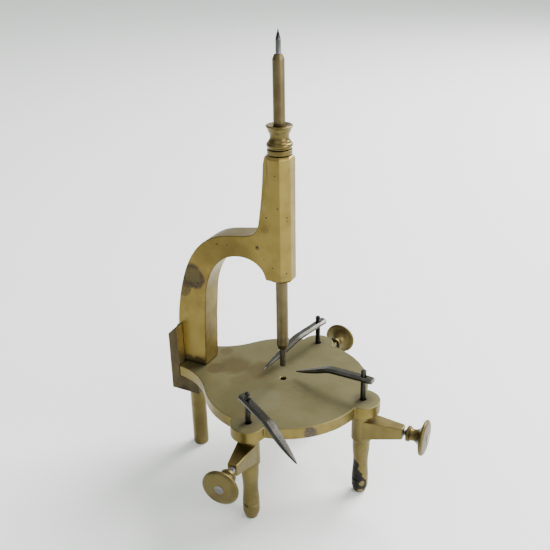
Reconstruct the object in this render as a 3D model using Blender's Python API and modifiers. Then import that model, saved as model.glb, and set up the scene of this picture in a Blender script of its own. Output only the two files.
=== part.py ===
"""Clockmaker's uprighting tool in brass and steel, modelled as the separate pieces it comes apart into.

A round table stands on three clamp legs and a heel leg. A C-shaped arm rises from the heel and carries
a vertical spindle over the hole in the table's middle. Three steel dogs hold the work down on the table.

All sizes are in millimetres. Heights are measured from the table's top face, and plan positions from
the spindle's axis. X runs from the heel towards the spindle, and Z is up.
"""
import math

import bmesh
import bpy
from mathutils import Vector

MM = 0.001

# Clearance left between pieces that touch in the real tool.
GAP = 0.3

# The tool's box is centred on the world origin and stands on the ground.
SPINDLE_X = -6.625
SPINDLE_Y = 0.432
LEG_DEPTH = 51.4

# Table.
TABLE_RADIUS = 38.0
TABLE_CENTRE_X = 1.45
TABLE_THICKNESS = 5.6
CENTRE_HOLE_DIAMETER = 2.9
LOBE_RADIUS = 7.8
HEEL_TONGUE_END_X = -49.9
TONGUE_HALF_WIDTH = 11.1
TONGUE_FILLET_RADIUS = 30.0
EDGE_BREAK = 0.35

# Arm and its octagonal head.
ARM_THICKNESS = 11.6
HEAD_TOP = 107.0
HEAD_BOTTOM = 51.2
HEAD_ACROSS_FLATS = 11.7
WEB_THICKNESS = 8.4
COLUMN_OUTER_X = -52.9
COLUMN_INNER_X = -38.3

# Heel bracket and heel leg.
HEEL_OUTER_X = -55.1
HEEL_HALF_WIDTH = 11.1
HEEL_WALL_TOP = 20.6
HEEL_WALL_CHAMFER = 4.2
JAW_BOTTOM = -13.7
JAW_INNER_X = -40.0
HEEL_LEG_X = -48.0
HEEL_LEG_DIAMETER = 7.6
HEEL_STUD_DIAMETER = 4.0
HEEL_STUD_TOP = 4.0
WALL_SCREW_HEIGHTS = {"lower": 7.5, "upper": 13.8}
STEADY_SCREW_X = -42.0
STEADY_SEAT = -12.0
SCREW_BORE_RADIUS = 1.5
SCREW_HEAD_RADII = {"wall": 2.4, "steady": 2.0}

# Spindle.
ROD_DIAMETER = 4.9
ROD_LOWER_DIAMETER = 5.35
ROD_TOP = 146.4
ROD_STEP = 60.0
ROD_BOTTOM = 16.3
POINT_DIAMETER = 2.15
POINT_TOP = 155.9
NIB_DIAMETER = 2.8
NIB_BOTTOM = 6.9

# Collet sleeve, ring and nut on top of the head.
SLEEVE_DIAMETER = 8.0
SLEEVE_BOTTOM = 92.0
SLEEVE_THREAD_DIAMETER = 7.0
SLEEVE_TOP = 112.6
RING_DIAMETER = 10.5
NUT_BOTTOM = 109.7
NUT_TOP = 119.2
NUT_FLARE_RADIUS = 5.55
NUT_WAIST_RADIUS = 3.95
NUT_BEAD_RADIUS = 5.45
SAW_CUT_WIDTH = 0.7

# Clamp legs, one under each lobe. POST_DROP is how far a dog's post can sink from where it rests.
POST_DIAMETER = 2.4
POST_TOP = 15.0
POST_BOTTOM = -22.0
POST_DROP = 2.4
SPIGOT_RADIUS = 4.0
SPIGOT_HEIGHT = 2.1
BOSS_RADIUS = 4.7
BLOCK_TOP = -9.2
BLOCK_NEAR = (4.6, -19.4)
BLOCK_FAR = (2.2, -14.6)
SCREW_HEIGHT = -11.9
THREAD_DIAMETER = 2.2
SHANK_DIAMETER = 3.0
KNOB_DIAMETER = 16.0
KNOB_LENGTH = 9.4

# Dog fingers.
FINGER_HALF_WIDTH = 2.2
FINGER_THICKNESS = 2.1
FINGER_REAR = 4.6
KNEE_DISTANCE = 17.0
BLADE_TAPER = 1.5
FINGER_TOP = 12.0
KNEE_TOP = 11.1
TIP_TOP = 3.4
TIP_HALF_WIDTH = 0.35
TIP_THICKNESS = 0.5

TURN_STEPS = 20

# Each station: name, direction and distance from the table's centre, turn of its leg about the post,
# block length, distance from the post to the knob, finger length and finger direction.
STATIONS = (
    ("front", -90.0, 36.9, 5.0, 17.5, 21.1, 37.0, -31.0),
    ("right", 0.0, 37.9, 0.0, 19.5, 21.0, 34.4, 174.0),
    ("back", 90.0, 36.9, -2.0, 18.5, 20.2, 40.0, 254.0),
)

BRASS = ("aged_brass", (0.36, 0.29, 0.10), 0.42, 1.0)
DARK_BRASS = ("dark_brass", (0.13, 0.09, 0.045), 0.50, 1.0)
PALE_BRASS = ("turned_brass", (0.42, 0.33, 0.13), 0.35, 1.0)
STEEL = ("dark_steel", (0.11, 0.105, 0.10), 0.38, 1.0)


def clear_scene():
    """Remove whatever objects the file starts with."""
    for existing in list(bpy.data.objects):
        bpy.data.objects.remove(existing, do_unlink=True)


def new_collection(name):
    """Add a collection to the scene."""
    collection = bpy.data.collections.new(name)
    bpy.context.scene.collection.children.link(collection)
    return collection


def new_material(node_name, look):
    """Give one node its own Principled material."""
    title, colour, roughness, metallic = look
    material = bpy.data.materials.new(f"{node_name}_{title}")
    material.use_nodes = True
    shader = material.node_tree.nodes["Principled BSDF"]
    shader.inputs["Base Color"].default_value = (*colour, 1.0)
    shader.inputs["Roughness"].default_value = roughness
    shader.inputs["Metallic"].default_value = metallic
    return material


class Workshop:
    """The two collections, and the ways that a piece or a cutter is put into them."""

    def __init__(self):
        self.parts = new_collection("uprighting_tool")
        self.cutters = new_collection("cutters")

    def frame(self, name, parent, location=(0.0, 0.0, 0.0), turn=(0.0, 0.0, 0.0)):
        """Add an empty that other objects are placed from."""
        empty = bpy.data.objects.new(name, None)
        empty.parent = parent
        empty.location = Vector(location) * MM
        empty.rotation_euler = [math.radians(angle) for angle in turn]
        self.parts.objects.link(empty)
        return empty

    def add(self, name, mesh, look, parent):
        """Add a finished piece, or a cutter where it has no look."""
        piece = bpy.data.objects.new(name, mesh)
        piece.parent = parent
        if look is None:
            piece.hide_render = True
            piece.display_type = "WIRE"
            self.cutters.objects.link(piece)
        else:
            mesh.materials.append(new_material(name, look))
            self.parts.objects.link(piece)
        return piece

    def turned(self, name, profile, look, parent, hollow=False, steps=TURN_STEPS):
        """Turn a profile of (radius, height) points about Z.

        The profile runs down its outer side. A hollow one closes up its inner side.
        """
        mesh = bpy.data.meshes.new(name)
        count = len(profile)
        edges = [(i, i + 1) for i in range(count - 1)]
        if hollow:
            edges.append((count - 1, 0))
        mesh.from_pydata([(r * MM, 0.0, z * MM) for r, z in profile], edges, [])
        piece = self.add(name, mesh, look, parent)
        screw = piece.modifiers.new("Turn", "SCREW")
        screw.axis = "Z"
        screw.steps = steps
        screw.render_steps = steps
        screw.use_merge_vertices = True
        screw.merge_threshold = 0.000001
        screw.use_smooth_shade = True
        return piece

    def plate(self, name, outline, thickness, look, parent, upright=False, edge_break=0.0):
        """Cut a flat piece to an outline, lying in XY, or standing in XZ if upright."""
        curve = bpy.data.curves.new(name, "CURVE")
        curve.dimensions = "2D"
        curve.fill_mode = "BOTH"
        curve.extrude = thickness / 2 * MM
        spline = curve.splines.new("POLY")
        spline.points.add(len(outline) - 1)
        for point, (across, along) in zip(spline.points, outline):
            point.co = (across * MM, along * MM, 0.0, 1.0)
        spline.use_cyclic_u = True
        sketch = bpy.data.objects.new(f"{name}_outline", curve)
        self.cutters.objects.link(sketch)
        sketch.rotation_euler = (math.radians(90.0) if upright else 0.0, 0.0, 0.0)
        bpy.context.view_layer.update()
        graph = bpy.context.evaluated_depsgraph_get()
        mesh = bpy.data.meshes.new_from_object(sketch.evaluated_get(graph))
        mesh.name = name
        mesh.transform(sketch.matrix_world)
        bpy.data.objects.remove(sketch, do_unlink=True)
        weld(mesh)
        piece = self.add(name, mesh, look, parent)
        if edge_break:
            break_edges(piece, edge_break)
        return piece

    def box(self, name, low, high, look, parent):
        """Add a box between two corners."""
        mesh = bpy.data.meshes.new(name)
        grid = bmesh.new()
        bmesh.ops.create_cube(grid, size=1.0)
        size = Vector(high) - Vector(low)
        centre = (Vector(high) + Vector(low)) / 2
        bmesh.ops.scale(grid, vec=size * MM, verts=grid.verts)
        bmesh.ops.translate(grid, vec=centre * MM, verts=grid.verts)
        grid.to_mesh(mesh)
        grid.free()
        return self.add(name, mesh, look, parent)


def weld(mesh):
    """Join the loose caps of a filled curve to its walls."""
    grid = bmesh.new()
    grid.from_mesh(mesh)
    bmesh.ops.remove_doubles(grid, verts=grid.verts, dist=0.001 * MM)
    bmesh.ops.recalc_face_normals(grid, faces=grid.faces)
    grid.to_mesh(mesh)
    grid.free()


def break_edges(piece, width):
    """Take the sharpness off a piece's edges."""
    bevel = piece.modifiers.new("Edge break", "BEVEL")
    bevel.width = width * MM
    bevel.segments = 1
    bevel.limit_method = "ANGLE"
    bevel.angle_limit = math.radians(50.0)


def combine(piece, other, operation):
    """Join another solid to a piece, or cut it away."""
    boolean = piece.modifiers.new(f"{operation.title()} {other.name}", "BOOLEAN")
    boolean.operation = operation
    boolean.solver = "EXACT"
    boolean.object = other


def cut(piece, cutter):
    """Cut one solid out of a piece."""
    combine(piece, cutter, "DIFFERENCE")


def join(piece, other):
    """Make one solid of a piece and another shape."""
    combine(piece, other, "UNION")


def arc(centre, radius, start, end, step=9.0):
    """Points on an arc, from one angle to another in degrees."""
    count = max(2, round(abs(end - start) / step))
    points = []
    for i in range(count + 1):
        angle = math.radians(start + (end - start) * i / count)
        points.append((centre[0] + radius * math.cos(angle), centre[1] + radius * math.sin(angle)))
    return points


def bezier(p0, p1, p2, p3, count=8):
    """Points on a cubic curve, its first end included and its last left out."""
    points = []
    for i in range(count):
        t = i / count
        weights = ((1 - t) ** 3, 3 * t * (1 - t) ** 2, 3 * t ** 2 * (1 - t), t ** 3)
        corners = (p0, p1, p2, p3)
        points.append(tuple(sum(w * p[k] for w, p in zip(weights, corners)) for k in (0, 1)))
    return points


def cylinder_profile(radius, low, high, rim=0.0):
    """Profile of a plain cylinder, with an optional chamfer at both ends."""
    if not rim:
        return [(0.0, high), (radius, high), (radius, low), (0.0, low)]
    return [(0.0, high), (radius - rim, high), (radius, high - rim),
            (radius, low + rim), (radius - rim, low), (0.0, low)]


def stepped_bore(steps):
    """Profile of a cutter whose (radius, low, high) stretches run from the top down."""
    profile = [(0.0, steps[0][2])]
    for radius, low, high in steps:
        profile += [(radius, high), (radius, low)]
    profile.append((0.0, steps[-1][1]))
    return profile


def station_centre(direction, distance):
    """Plan position of a dog's post."""
    angle = math.radians(direction)
    return (TABLE_CENTRE_X + distance * math.cos(angle), distance * math.sin(angle))


def table_outline():
    """Disc with three lobes, and a flared tongue towards the heel."""
    disc = (TABLE_CENTRE_X, 0.0)
    reach = TABLE_RADIUS + TONGUE_FILLET_RADIUS
    fillet_y = TONGUE_HALF_WIDTH + TONGUE_FILLET_RADIUS
    fillet_x = TABLE_CENTRE_X - math.sqrt(reach ** 2 - fillet_y ** 2)
    blend = math.degrees(math.asin(fillet_y / reach))
    tongue_start = math.degrees(math.acos((HEEL_TONGUE_END_X - fillet_x) / TONGUE_FILLET_RADIUS))
    outline = arc((fillet_x, -fillet_y), TONGUE_FILLET_RADIUS, tongue_start, blend)
    last = blend - 180.0
    for _, direction, distance, *_ in STATIONS:
        squares = TABLE_RADIUS ** 2 + distance ** 2 - LOBE_RADIUS ** 2
        lobe_spread = math.degrees(math.acos(squares / (2 * TABLE_RADIUS * distance)))
        meeting = TABLE_RADIUS * math.cos(math.radians(lobe_spread)) - distance
        lobe_turn = math.degrees(math.acos(meeting / LOBE_RADIUS))
        outline += arc(disc, TABLE_RADIUS, last, direction - lobe_spread)[1:]
        lobe_ends = (direction - lobe_turn, direction + lobe_turn)
        outline += arc(station_centre(direction, distance), LOBE_RADIUS, *lobe_ends, step=15.0)[1:]
        last = direction + lobe_spread
    outline += arc(disc, TABLE_RADIUS, last, 180.0 - blend)[1:]
    outline += arc((fillet_x, fillet_y), TONGUE_FILLET_RADIUS, -blend, -tongue_start)[1:]
    return outline


def make_table(shop, root):
    """Round table with its bores."""
    middle = shop.frame("table_middle", root, (0.0, 0.0, -TABLE_THICKNESS / 2))
    table = shop.plate("table_plate", table_outline(), TABLE_THICKNESS, BRASS, middle, edge_break=EDGE_BREAK)
    above = 2.0
    below = -TABLE_THICKNESS - 2.4
    seat = SPIGOT_HEIGHT - TABLE_THICKNESS + GAP
    hole = cylinder_profile(CENTRE_HOLE_DIAMETER / 2, below, above)
    bores = [shop.turned("centre_hole", hole, None, root)]
    for name, direction, distance, *_ in STATIONS:
        at_post = shop.frame(f"lobe_{name}", root, (*station_centre(direction, distance), 0.0))
        profile = stepped_bore(((POST_DIAMETER / 2 + GAP, seat, above), (SPIGOT_RADIUS + GAP, below, seat)))
        bores.append(shop.turned(f"lobe_bore_{name}", profile, None, at_post, steps=16))
    bores += [heel_bore(shop, root, "table"), steady_bore(shop, root, "table")]
    for bore in bores:
        cut(table, bore)


def heel_bore(shop, root, owner):
    """Bore for the heel leg's stud, up through jaw, table and column."""
    centre = shop.frame(f"{owner}_stud_frame", root, (HEEL_LEG_X, 0.0, 0.0))
    profile = cylinder_profile(HEEL_STUD_DIAMETER / 2 + GAP, JAW_BOTTOM - 2.0, HEEL_STUD_TOP + GAP)
    return shop.turned(f"{owner}_stud_bore", profile, None, centre, steps=16)


def steady_bore(shop, root, owner):
    """Bore for the steady screw, with the seat for its head in the jaw."""
    centre = shop.frame(f"{owner}_steady_frame", root, (STEADY_SCREW_X, 0.0, 0.0))
    profile = stepped_bore(((SCREW_BORE_RADIUS, STEADY_SEAT, 6.3),
                            (SCREW_HEAD_RADII["steady"] + GAP, JAW_BOTTOM - 2.0, STEADY_SEAT)))
    return shop.turned(f"{owner}_steady_bore", profile, None, centre, steps=16)


def wall_bore(shop, root, owner, height):
    """Bore for one screw that ties the column to the heel's wall."""
    name = f"{owner}_wall_bore_{height:.0f}"
    centre = shop.frame(f"{name}_frame", root, (COLUMN_OUTER_X, 0.0, height), (0.0, -90.0, 0.0))
    return shop.turned(name, cylinder_profile(SCREW_BORE_RADIUS, -6.3, 4.0), None, centre, steps=16)


def arm_outline():
    """C-shaped side view of the arm, from the column's foot over to the head and back under the arch."""
    half_flat = HEAD_ACROSS_FLATS / 2 * math.tan(math.radians(22.5))
    shoulder = (-47.6, 45.4)
    crown = (-31.5, 67.2)
    outline = [(COLUMN_INNER_X, GAP), (COLUMN_OUTER_X, GAP)]
    outline += bezier((-52.3, 20.0), (-51.9, 29.0), (-49.9, 38.0), shoulder)
    outline += bezier(shoulder, (-44.2, 55.9), (-39.5, 63.2), crown)
    outline += bezier(crown, (-26.5, 69.7), (-20.5, 70.0), (-13.5, 71.2))
    outline += bezier((-13.5, 71.2), (-9.6, 71.8), (-8.2, 73.0), (-7.6, 75.8), 5)
    outline += bezier((-7.6, 75.8), (-6.3, 84.0), (-3.4, 91.0), (-half_flat - 0.2, HEAD_TOP - 3.0), 7)
    outline += [(-half_flat, HEAD_TOP - 1.0), (half_flat, HEAD_TOP - 1.0), (half_flat, HEAD_BOTTOM + 0.7)]
    outline += [(-4.9, HEAD_BOTTOM + 0.7)]
    outline += bezier((-5.2, HEAD_BOTTOM + 1.4), (-5.8, 57.0), (-10.5, 60.7), (-16.5, 60.7))
    outline += bezier((-16.5, 60.7), (-26.0, 60.7), (-33.5, 54.0), (-35.9, 40.0), 9)
    outline += [(-35.9, 40.0), (-37.3, 24.0)]
    return outline


def web_outline():
    """Side view of the narrower web that backs the head above the bar."""
    outline = [(0.0, 66.0), (-9.4, 66.0), (-9.3, 73.4)]
    outline += bezier((-8.8, 76.5), (-7.4, 85.0), (-6.2, 94.0), (-5.7, HEAD_TOP - 2.0), 6)
    outline += [(-4.6, HEAD_TOP - 0.9), (0.0, HEAD_TOP - 0.9)]
    return outline


def make_arm(shop, root):
    """Arm with its bored octagonal head."""
    arm = shop.plate("arm", arm_outline(), ARM_THICKNESS, BRASS, root, upright=True, edge_break=0.4)
    web = shop.plate("web", web_outline(), WEB_THICKNESS, None, root, upright=True)
    join(arm, web)
    corner = HEAD_ACROSS_FLATS / 2 / math.cos(math.radians(22.5))
    turned_eighth = shop.frame("head_turn", root, turn=(0.0, 0.0, 22.5))
    head_profile = [(0.0, HEAD_TOP), (corner - 0.8, HEAD_TOP), (corner, HEAD_TOP - 1.1),
                    (corner, HEAD_BOTTOM + 1.1), (corner - 1.1, HEAD_BOTTOM), (0.0, HEAD_BOTTOM)]
    join(arm, shop.turned("head", head_profile, None, turned_eighth, steps=8))
    spindle_bore = stepped_bore(((SLEEVE_DIAMETER / 2 + GAP, SLEEVE_BOTTOM - GAP, HEAD_TOP + 2.0),
                                 (ROD_LOWER_DIAMETER / 2 + GAP, HEAD_BOTTOM - 2.0, SLEEVE_BOTTOM - GAP)))
    cut(arm, shop.turned("spindle_bore", spindle_bore, None, root))
    cut(arm, heel_bore(shop, root, "arm"))
    cut(arm, steady_bore(shop, root, "arm"))
    for height in WALL_SCREW_HEIGHTS.values():
        cut(arm, wall_bore(shop, root, "arm", height))


def heel_outline():
    """Side view of the heel bracket: a wall behind the column and a jaw under the table."""
    wall_inner = HEEL_TONGUE_END_X - GAP
    chamfer_start = HEEL_WALL_TOP - HEEL_WALL_CHAMFER
    return [(HEEL_OUTER_X, JAW_BOTTOM), (JAW_INNER_X, JAW_BOTTOM), (JAW_INNER_X, -TABLE_THICKNESS - GAP),
            (wall_inner, -TABLE_THICKNESS - GAP), (wall_inner, HEEL_WALL_TOP),
            (wall_inner - 0.7, HEEL_WALL_TOP), (HEEL_OUTER_X, chamfer_start)]


def make_heel(shop, root):
    """Heel bracket, its leg and its screws."""
    heel = shop.plate("heel_bracket", heel_outline(), 2 * HEEL_HALF_WIDTH, DARK_BRASS, root,
                      upright=True, edge_break=0.3)
    groove_half = ARM_THICKNESS / 2 + GAP
    groove = shop.box("column_groove", (COLUMN_OUTER_X - GAP, -groove_half, 0.0),
                      (COLUMN_INNER_X, groove_half, HEEL_WALL_TOP + 4.0), None, root)
    cut(heel, groove)
    cut(heel, heel_bore(shop, root, "heel"))
    cut(heel, steady_bore(shop, root, "heel"))
    for name, height in WALL_SCREW_HEIGHTS.items():
        cut(heel, wall_bore(shop, root, "heel", height))
        seat = shop.frame(f"wall_screw_seat_{name}", root, (HEEL_OUTER_X, 0.0, height), (0.0, -90.0, 0.0))
        make_screw(shop, f"wall_screw_{name}", seat, SCREW_HEAD_RADII["wall"], 1.3, -8.0)
    below = shop.frame("steady_seat", root, (STEADY_SCREW_X, 0.0, STEADY_SEAT - GAP), (180.0, 0.0, 0.0))
    make_screw(shop, "steady_screw", below, SCREW_HEAD_RADII["steady"], 1.2, -18.0)
    make_heel_leg(shop, root)


def make_screw(shop, name, seat, head_radius, head_height, tip):
    """Slotted cheese-head screw, its head resting on the seat and its tip below it."""
    rim = 0.25
    shank = SCREW_BORE_RADIUS - GAP
    top = head_height + GAP
    profile = [(0.0, top), (head_radius - rim, top), (head_radius, top - rim), (head_radius, GAP),
               (shank, GAP), (shank, tip + 0.4), (shank - 0.4, tip), (0.0, tip)]
    screw = shop.turned(name, profile, STEEL, seat, steps=12)
    slot_depth = 0.5
    slot_half = 0.3
    beyond = head_radius + 1.0
    slot = shop.box(f"{name}_slot", (-beyond, -slot_half, top - slot_depth), (beyond, slot_half, top + 1.0),
                    None, seat)
    cut(screw, slot)


def make_heel_leg(shop, root):
    """Plain round leg whose stud ties jaw, table and column together."""
    centre = shop.frame("heel_leg_axis", root, (HEEL_LEG_X, 0.0, 0.0))
    radius = HEEL_LEG_DIAMETER / 2
    stud = HEEL_STUD_DIAMETER / 2
    profile = [(0.0, HEEL_STUD_TOP), (stud - 0.4, HEEL_STUD_TOP), (stud, HEEL_STUD_TOP - 0.4),
               (stud, JAW_BOTTOM - GAP), (radius, JAW_BOTTOM - GAP)]
    profile += arc((radius - 1.0, 1.0 - LEG_DEPTH), 1.0, 0.0, -90.0, 30.0)
    profile.append((0.0, -LEG_DEPTH))
    shop.turned("heel_leg", profile, BRASS, centre)


def make_spindle(shop, root):
    """Sliding rod with a steel point on top and a nib below."""
    rod_radius = ROD_DIAMETER / 2
    lower_radius = ROD_LOWER_DIAMETER / 2
    pin_bore = POINT_DIAMETER / 2 + GAP
    nib_bore = NIB_DIAMETER / 2 + GAP
    pin_floor = ROD_TOP - 8.0
    nib_ceiling = ROD_BOTTOM + 8.0
    profile = [(0.0, pin_floor), (pin_bore, pin_floor), (pin_bore, ROD_TOP)]
    profile += arc((rod_radius - 1.0, ROD_TOP - 1.6), 1.0, 60.0, 0.0, 20.0)
    profile += [(rod_radius, ROD_STEP + 0.3), (lower_radius, ROD_STEP), (lower_radius, ROD_BOTTOM + 2.6),
                (nib_bore + 0.45, ROD_BOTTOM), (nib_bore, ROD_BOTTOM), (nib_bore, nib_ceiling),
                (0.0, nib_ceiling)]
    shop.turned("spindle_rod", profile, PALE_BRASS, root)
    pin = POINT_DIAMETER / 2
    pin_end = pin_floor + GAP
    point = [(0.0, POINT_TOP), (0.15, POINT_TOP - 0.1), (pin, POINT_TOP - 3.0), (pin, pin_end),
             (0.0, pin_end)]
    shop.turned("spindle_point", point, STEEL, root, steps=16)
    nib = NIB_DIAMETER / 2
    nib_end = nib_ceiling - GAP
    nib_profile = [(0.0, nib_end), (nib, nib_end), (nib, NIB_BOTTOM + 0.7), (nib - 0.45, NIB_BOTTOM),
                   (0.0, NIB_BOTTOM)]
    shop.turned("spindle_nib", nib_profile, STEEL, root, steps=16)


def make_collet(shop, root):
    """Split sleeve in the head, the ring above it and the nut that closes it on the rod."""
    bore = ROD_DIAMETER / 2 + GAP
    outer = SLEEVE_DIAMETER / 2
    thread = SLEEVE_THREAD_DIAMETER / 2
    shoulder = HEAD_TOP - 0.6
    sleeve = [(bore, SLEEVE_TOP), (thread - 0.3, SLEEVE_TOP), (thread, SLEEVE_TOP - 0.3), (thread, shoulder),
              (outer, shoulder), (outer, SLEEVE_BOTTOM), (bore, SLEEVE_BOTTOM)]
    piece = shop.turned("collet_sleeve", sleeve, BRASS, root, hollow=True)
    low = (-outer - 1.0, -SAW_CUT_WIDTH / 2, HEAD_TOP - 4.0)
    high = (outer + 1.0, SAW_CUT_WIDTH / 2, SLEEVE_TOP + 1.0)
    cut(piece, shop.box("collet_saw_cut", low, high, None, root))
    ring_outer = RING_DIAMETER / 2
    inner = thread + GAP
    ring_top = NUT_BOTTOM - GAP
    ring = [(inner, ring_top), (ring_outer - 0.5, ring_top), (ring_outer, ring_top - 0.6),
            (ring_outer, HEAD_TOP + GAP + 0.4), (ring_outer - 0.3, HEAD_TOP + GAP), (inner, HEAD_TOP + GAP)]
    shop.turned("collar_ring", ring, PALE_BRASS, root, hollow=True)
    make_collar_nut(shop, root, inner, bore)


def make_collar_nut(shop, root, inner, bore):
    """Waisted nut with a flared top rim and a bead round its foot."""
    waist = NUT_WAIST_RADIUS
    nut = [(bore, NUT_TOP), (NUT_FLARE_RADIUS - 0.5, NUT_TOP)]
    nut += arc((NUT_FLARE_RADIUS - 0.6, NUT_TOP - 0.6), 0.6, 60.0, -60.0, 40.0)
    nut += [(waist + 0.75, 116.9), (waist + 0.2, 115.7), (waist, 114.6), (waist + 0.15, 113.6),
            (waist + 0.65, 112.9)]
    nut += arc((NUT_BEAD_RADIUS - 1.2, NUT_BOTTOM + 1.45), 1.2, 70.0, -70.0, 35.0)
    nut += [(inner + 0.3, NUT_BOTTOM), (inner, NUT_BOTTOM + 0.3), (inner, SLEEVE_TOP + GAP),
            (bore, SLEEVE_TOP + 1.0)]
    shop.turned("collar_nut", nut, PALE_BRASS, root, hollow=True)


def leg_profile():
    """Side view of a clamp leg: spigot, boss, moulded shoulder, waisted leg and rounded foot."""
    under_table = -TABLE_THICKNESS - GAP
    spigot_top = under_table + SPIGOT_HEIGHT
    profile = [(0.0, spigot_top), (SPIGOT_RADIUS, spigot_top), (SPIGOT_RADIUS, under_table),
               (BOSS_RADIUS, under_table), (BOSS_RADIUS, -19.6)]
    profile += arc((BOSS_RADIUS - 0.8, -20.4), 0.8, 40.0, -60.0, 33.0)
    profile += [(3.95, -22.8), (3.85, -26.6), (3.5, -30.9), (3.4, -34.2), (3.55, -38.0), (3.8, -41.6),
                (3.8, -42.5), (3.5, -42.9), (3.5, -43.4), (3.75, -43.9), (3.75, -47.0), (3.6, -48.6)]
    profile += [(3.1, -LEG_DEPTH + 1.3), (2.3, -LEG_DEPTH + 0.4), (1.6, -LEG_DEPTH), (0.0, -LEG_DEPTH)]
    return profile


def make_block(shop, name, yaw, length):
    """Tapered arm of the clamp leg, which the thumb screw runs through."""
    mesh = bpy.data.meshes.new(name)
    grid = bmesh.new()
    bmesh.ops.create_cube(grid, size=1.0)
    for corner in grid.verts:
        half_width, low = BLOCK_FAR if corner.co.x > 0 else BLOCK_NEAR
        corner.co.x = length * MM if corner.co.x > 0 else 0.0
        corner.co.y = math.copysign(half_width, corner.co.y) * MM
        corner.co.z = (BLOCK_TOP if corner.co.z > 0 else low) * MM
    grid.to_mesh(mesh)
    grid.free()
    block = shop.add(name, mesh, None, yaw)
    break_edges(block, 0.35)
    return block


def make_clamp_leg(shop, name, post_axis, yaw, screw_axis, length):
    """Clamp leg, bored for the post and for the thumb screw."""
    leg = shop.turned(f"leg_{name}", leg_profile(), BRASS, post_axis)
    join(leg, make_block(shop, f"block_{name}", yaw, length))
    post_bore = cylinder_profile(POST_DIAMETER / 2 + GAP, POST_BOTTOM - POST_DROP - GAP, 4.0)
    cut(leg, shop.turned(f"post_bore_{name}", post_bore, None, post_axis, steps=12))
    screw_bore = cylinder_profile(THREAD_DIAMETER / 2 + GAP, 0.0, length + 3.0)
    cut(leg, shop.turned(f"screw_bore_{name}", screw_bore, None, screw_axis, steps=12))


def make_thumb_screw(shop, name, screw_axis, block_length, knob_start):
    """Steel screw and the brass knob riveted on its end."""
    thread = THREAD_DIAMETER / 2
    shank = SHANK_DIAMETER / 2
    shoulder = block_length + GAP
    end = knob_start + KNOB_LENGTH + 0.2
    tip = POST_DIAMETER / 2 + GAP
    profile = [(0.0, end), (shank - 0.3, end), (shank, end - 0.3), (shank, shoulder), (thread, shoulder),
               (thread, tip + 0.5), (thread - 0.4, tip), (0.0, tip)]
    shop.turned(f"clamp_screw_{name}", profile, STEEL, screw_axis, steps=16)
    make_knob(shop, name, screw_axis, knob_start)


def make_knob(shop, name, screw_axis, start):
    """Turned brass knob: small flange, neck and a broad thin disc."""
    rim = KNOB_DIAMETER / 2
    bore = SHANK_DIAMETER / 2 + GAP
    face = start + KNOB_LENGTH
    profile = [(bore, face - 0.3), (4.2, face - 0.3), (rim - 0.9, face - 0.7), (rim - 0.2, face - 1.0),
               (rim, face - 1.4), (rim, face - 2.0), (rim - 0.4, face - 2.4), (5.4, face - 3.1),
               (3.5, face - 4.0), (2.65, face - 5.2), (2.6, start + 2.3), (3.1, start + 1.8),
               (3.5, start + 1.5), (3.5, start + 0.3), (3.2, start), (bore, start)]
    shop.turned(f"clamp_knob_{name}", profile, BRASS, screw_axis, hollow=True)


def make_post(shop, name, post_axis):
    """Steel post that slides in its clamp leg."""
    profile = cylinder_profile(POST_DIAMETER / 2, POST_BOTTOM, POST_TOP, rim=0.3)
    shop.turned(f"dog_post_{name}", profile, STEEL, post_axis, steps=16)


def finger_section(distance, length):
    """Top height, thickness and half width of a dog's finger at one distance from its post."""
    if distance <= KNEE_DISTANCE:
        slope = (KNEE_TOP - FINGER_TOP) / KNEE_DISTANCE
        return FINGER_TOP + slope * distance, FINGER_THICKNESS, FINGER_HALF_WIDTH
    along = (distance - KNEE_DISTANCE) / (length - KNEE_DISTANCE)
    top = KNEE_TOP + (TIP_TOP - KNEE_TOP) * along
    taper = along ** BLADE_TAPER
    thickness = FINGER_THICKNESS + (TIP_THICKNESS - FINGER_THICKNESS) * taper
    half_width = FINGER_HALF_WIDTH + (TIP_HALF_WIDTH - FINGER_HALF_WIDTH) * taper
    return top, thickness, half_width


def make_finger(shop, name, finger_axis, post_axis, length):
    """Flat steel finger with bevelled long edges, bent at a knee and drawn to a point."""
    knee = (KNEE_DISTANCE - 3.0, KNEE_DISTANCE, KNEE_DISTANCE + 3.0)
    distances = (-FINGER_REAR, 0.0, *knee, (knee[-1] + length - 6.0) / 2, length - 6.0, length)
    knee_hollow = 0.25
    chamfer = 0.45
    grid = bmesh.new()
    rings = []
    for distance in distances:
        top, thickness, half = finger_section(distance, length)
        if distance == KNEE_DISTANCE:
            top -= knee_hollow
        flat = 0.55 * half
        shoulder = top - chamfer * thickness
        floor = top - thickness
        corners = ((-half, shoulder), (-flat, top), (flat, top), (half, shoulder), (half, floor),
                   (-half, floor))
        rings.append([grid.verts.new(Vector((distance, y, z)) * MM) for y, z in corners])
    for near, far in zip(rings, rings[1:]):
        for k in range(len(near)):
            following = (k + 1) % len(near)
            grid.faces.new((near[k], far[k], far[following], near[following]))
    grid.faces.new(rings[0])
    grid.faces.new(reversed(rings[-1]))
    bmesh.ops.recalc_face_normals(grid, faces=grid.faces)
    mesh = bpy.data.meshes.new(f"dog_finger_{name}")
    grid.to_mesh(mesh)
    grid.free()
    finger = shop.add(f"dog_finger_{name}", mesh, STEEL, finger_axis)
    profile = cylinder_profile(POST_DIAMETER / 2 + GAP, 4.0, 20.0)
    cut(finger, shop.turned(f"finger_bore_{name}", profile, None, post_axis, steps=12))


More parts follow.
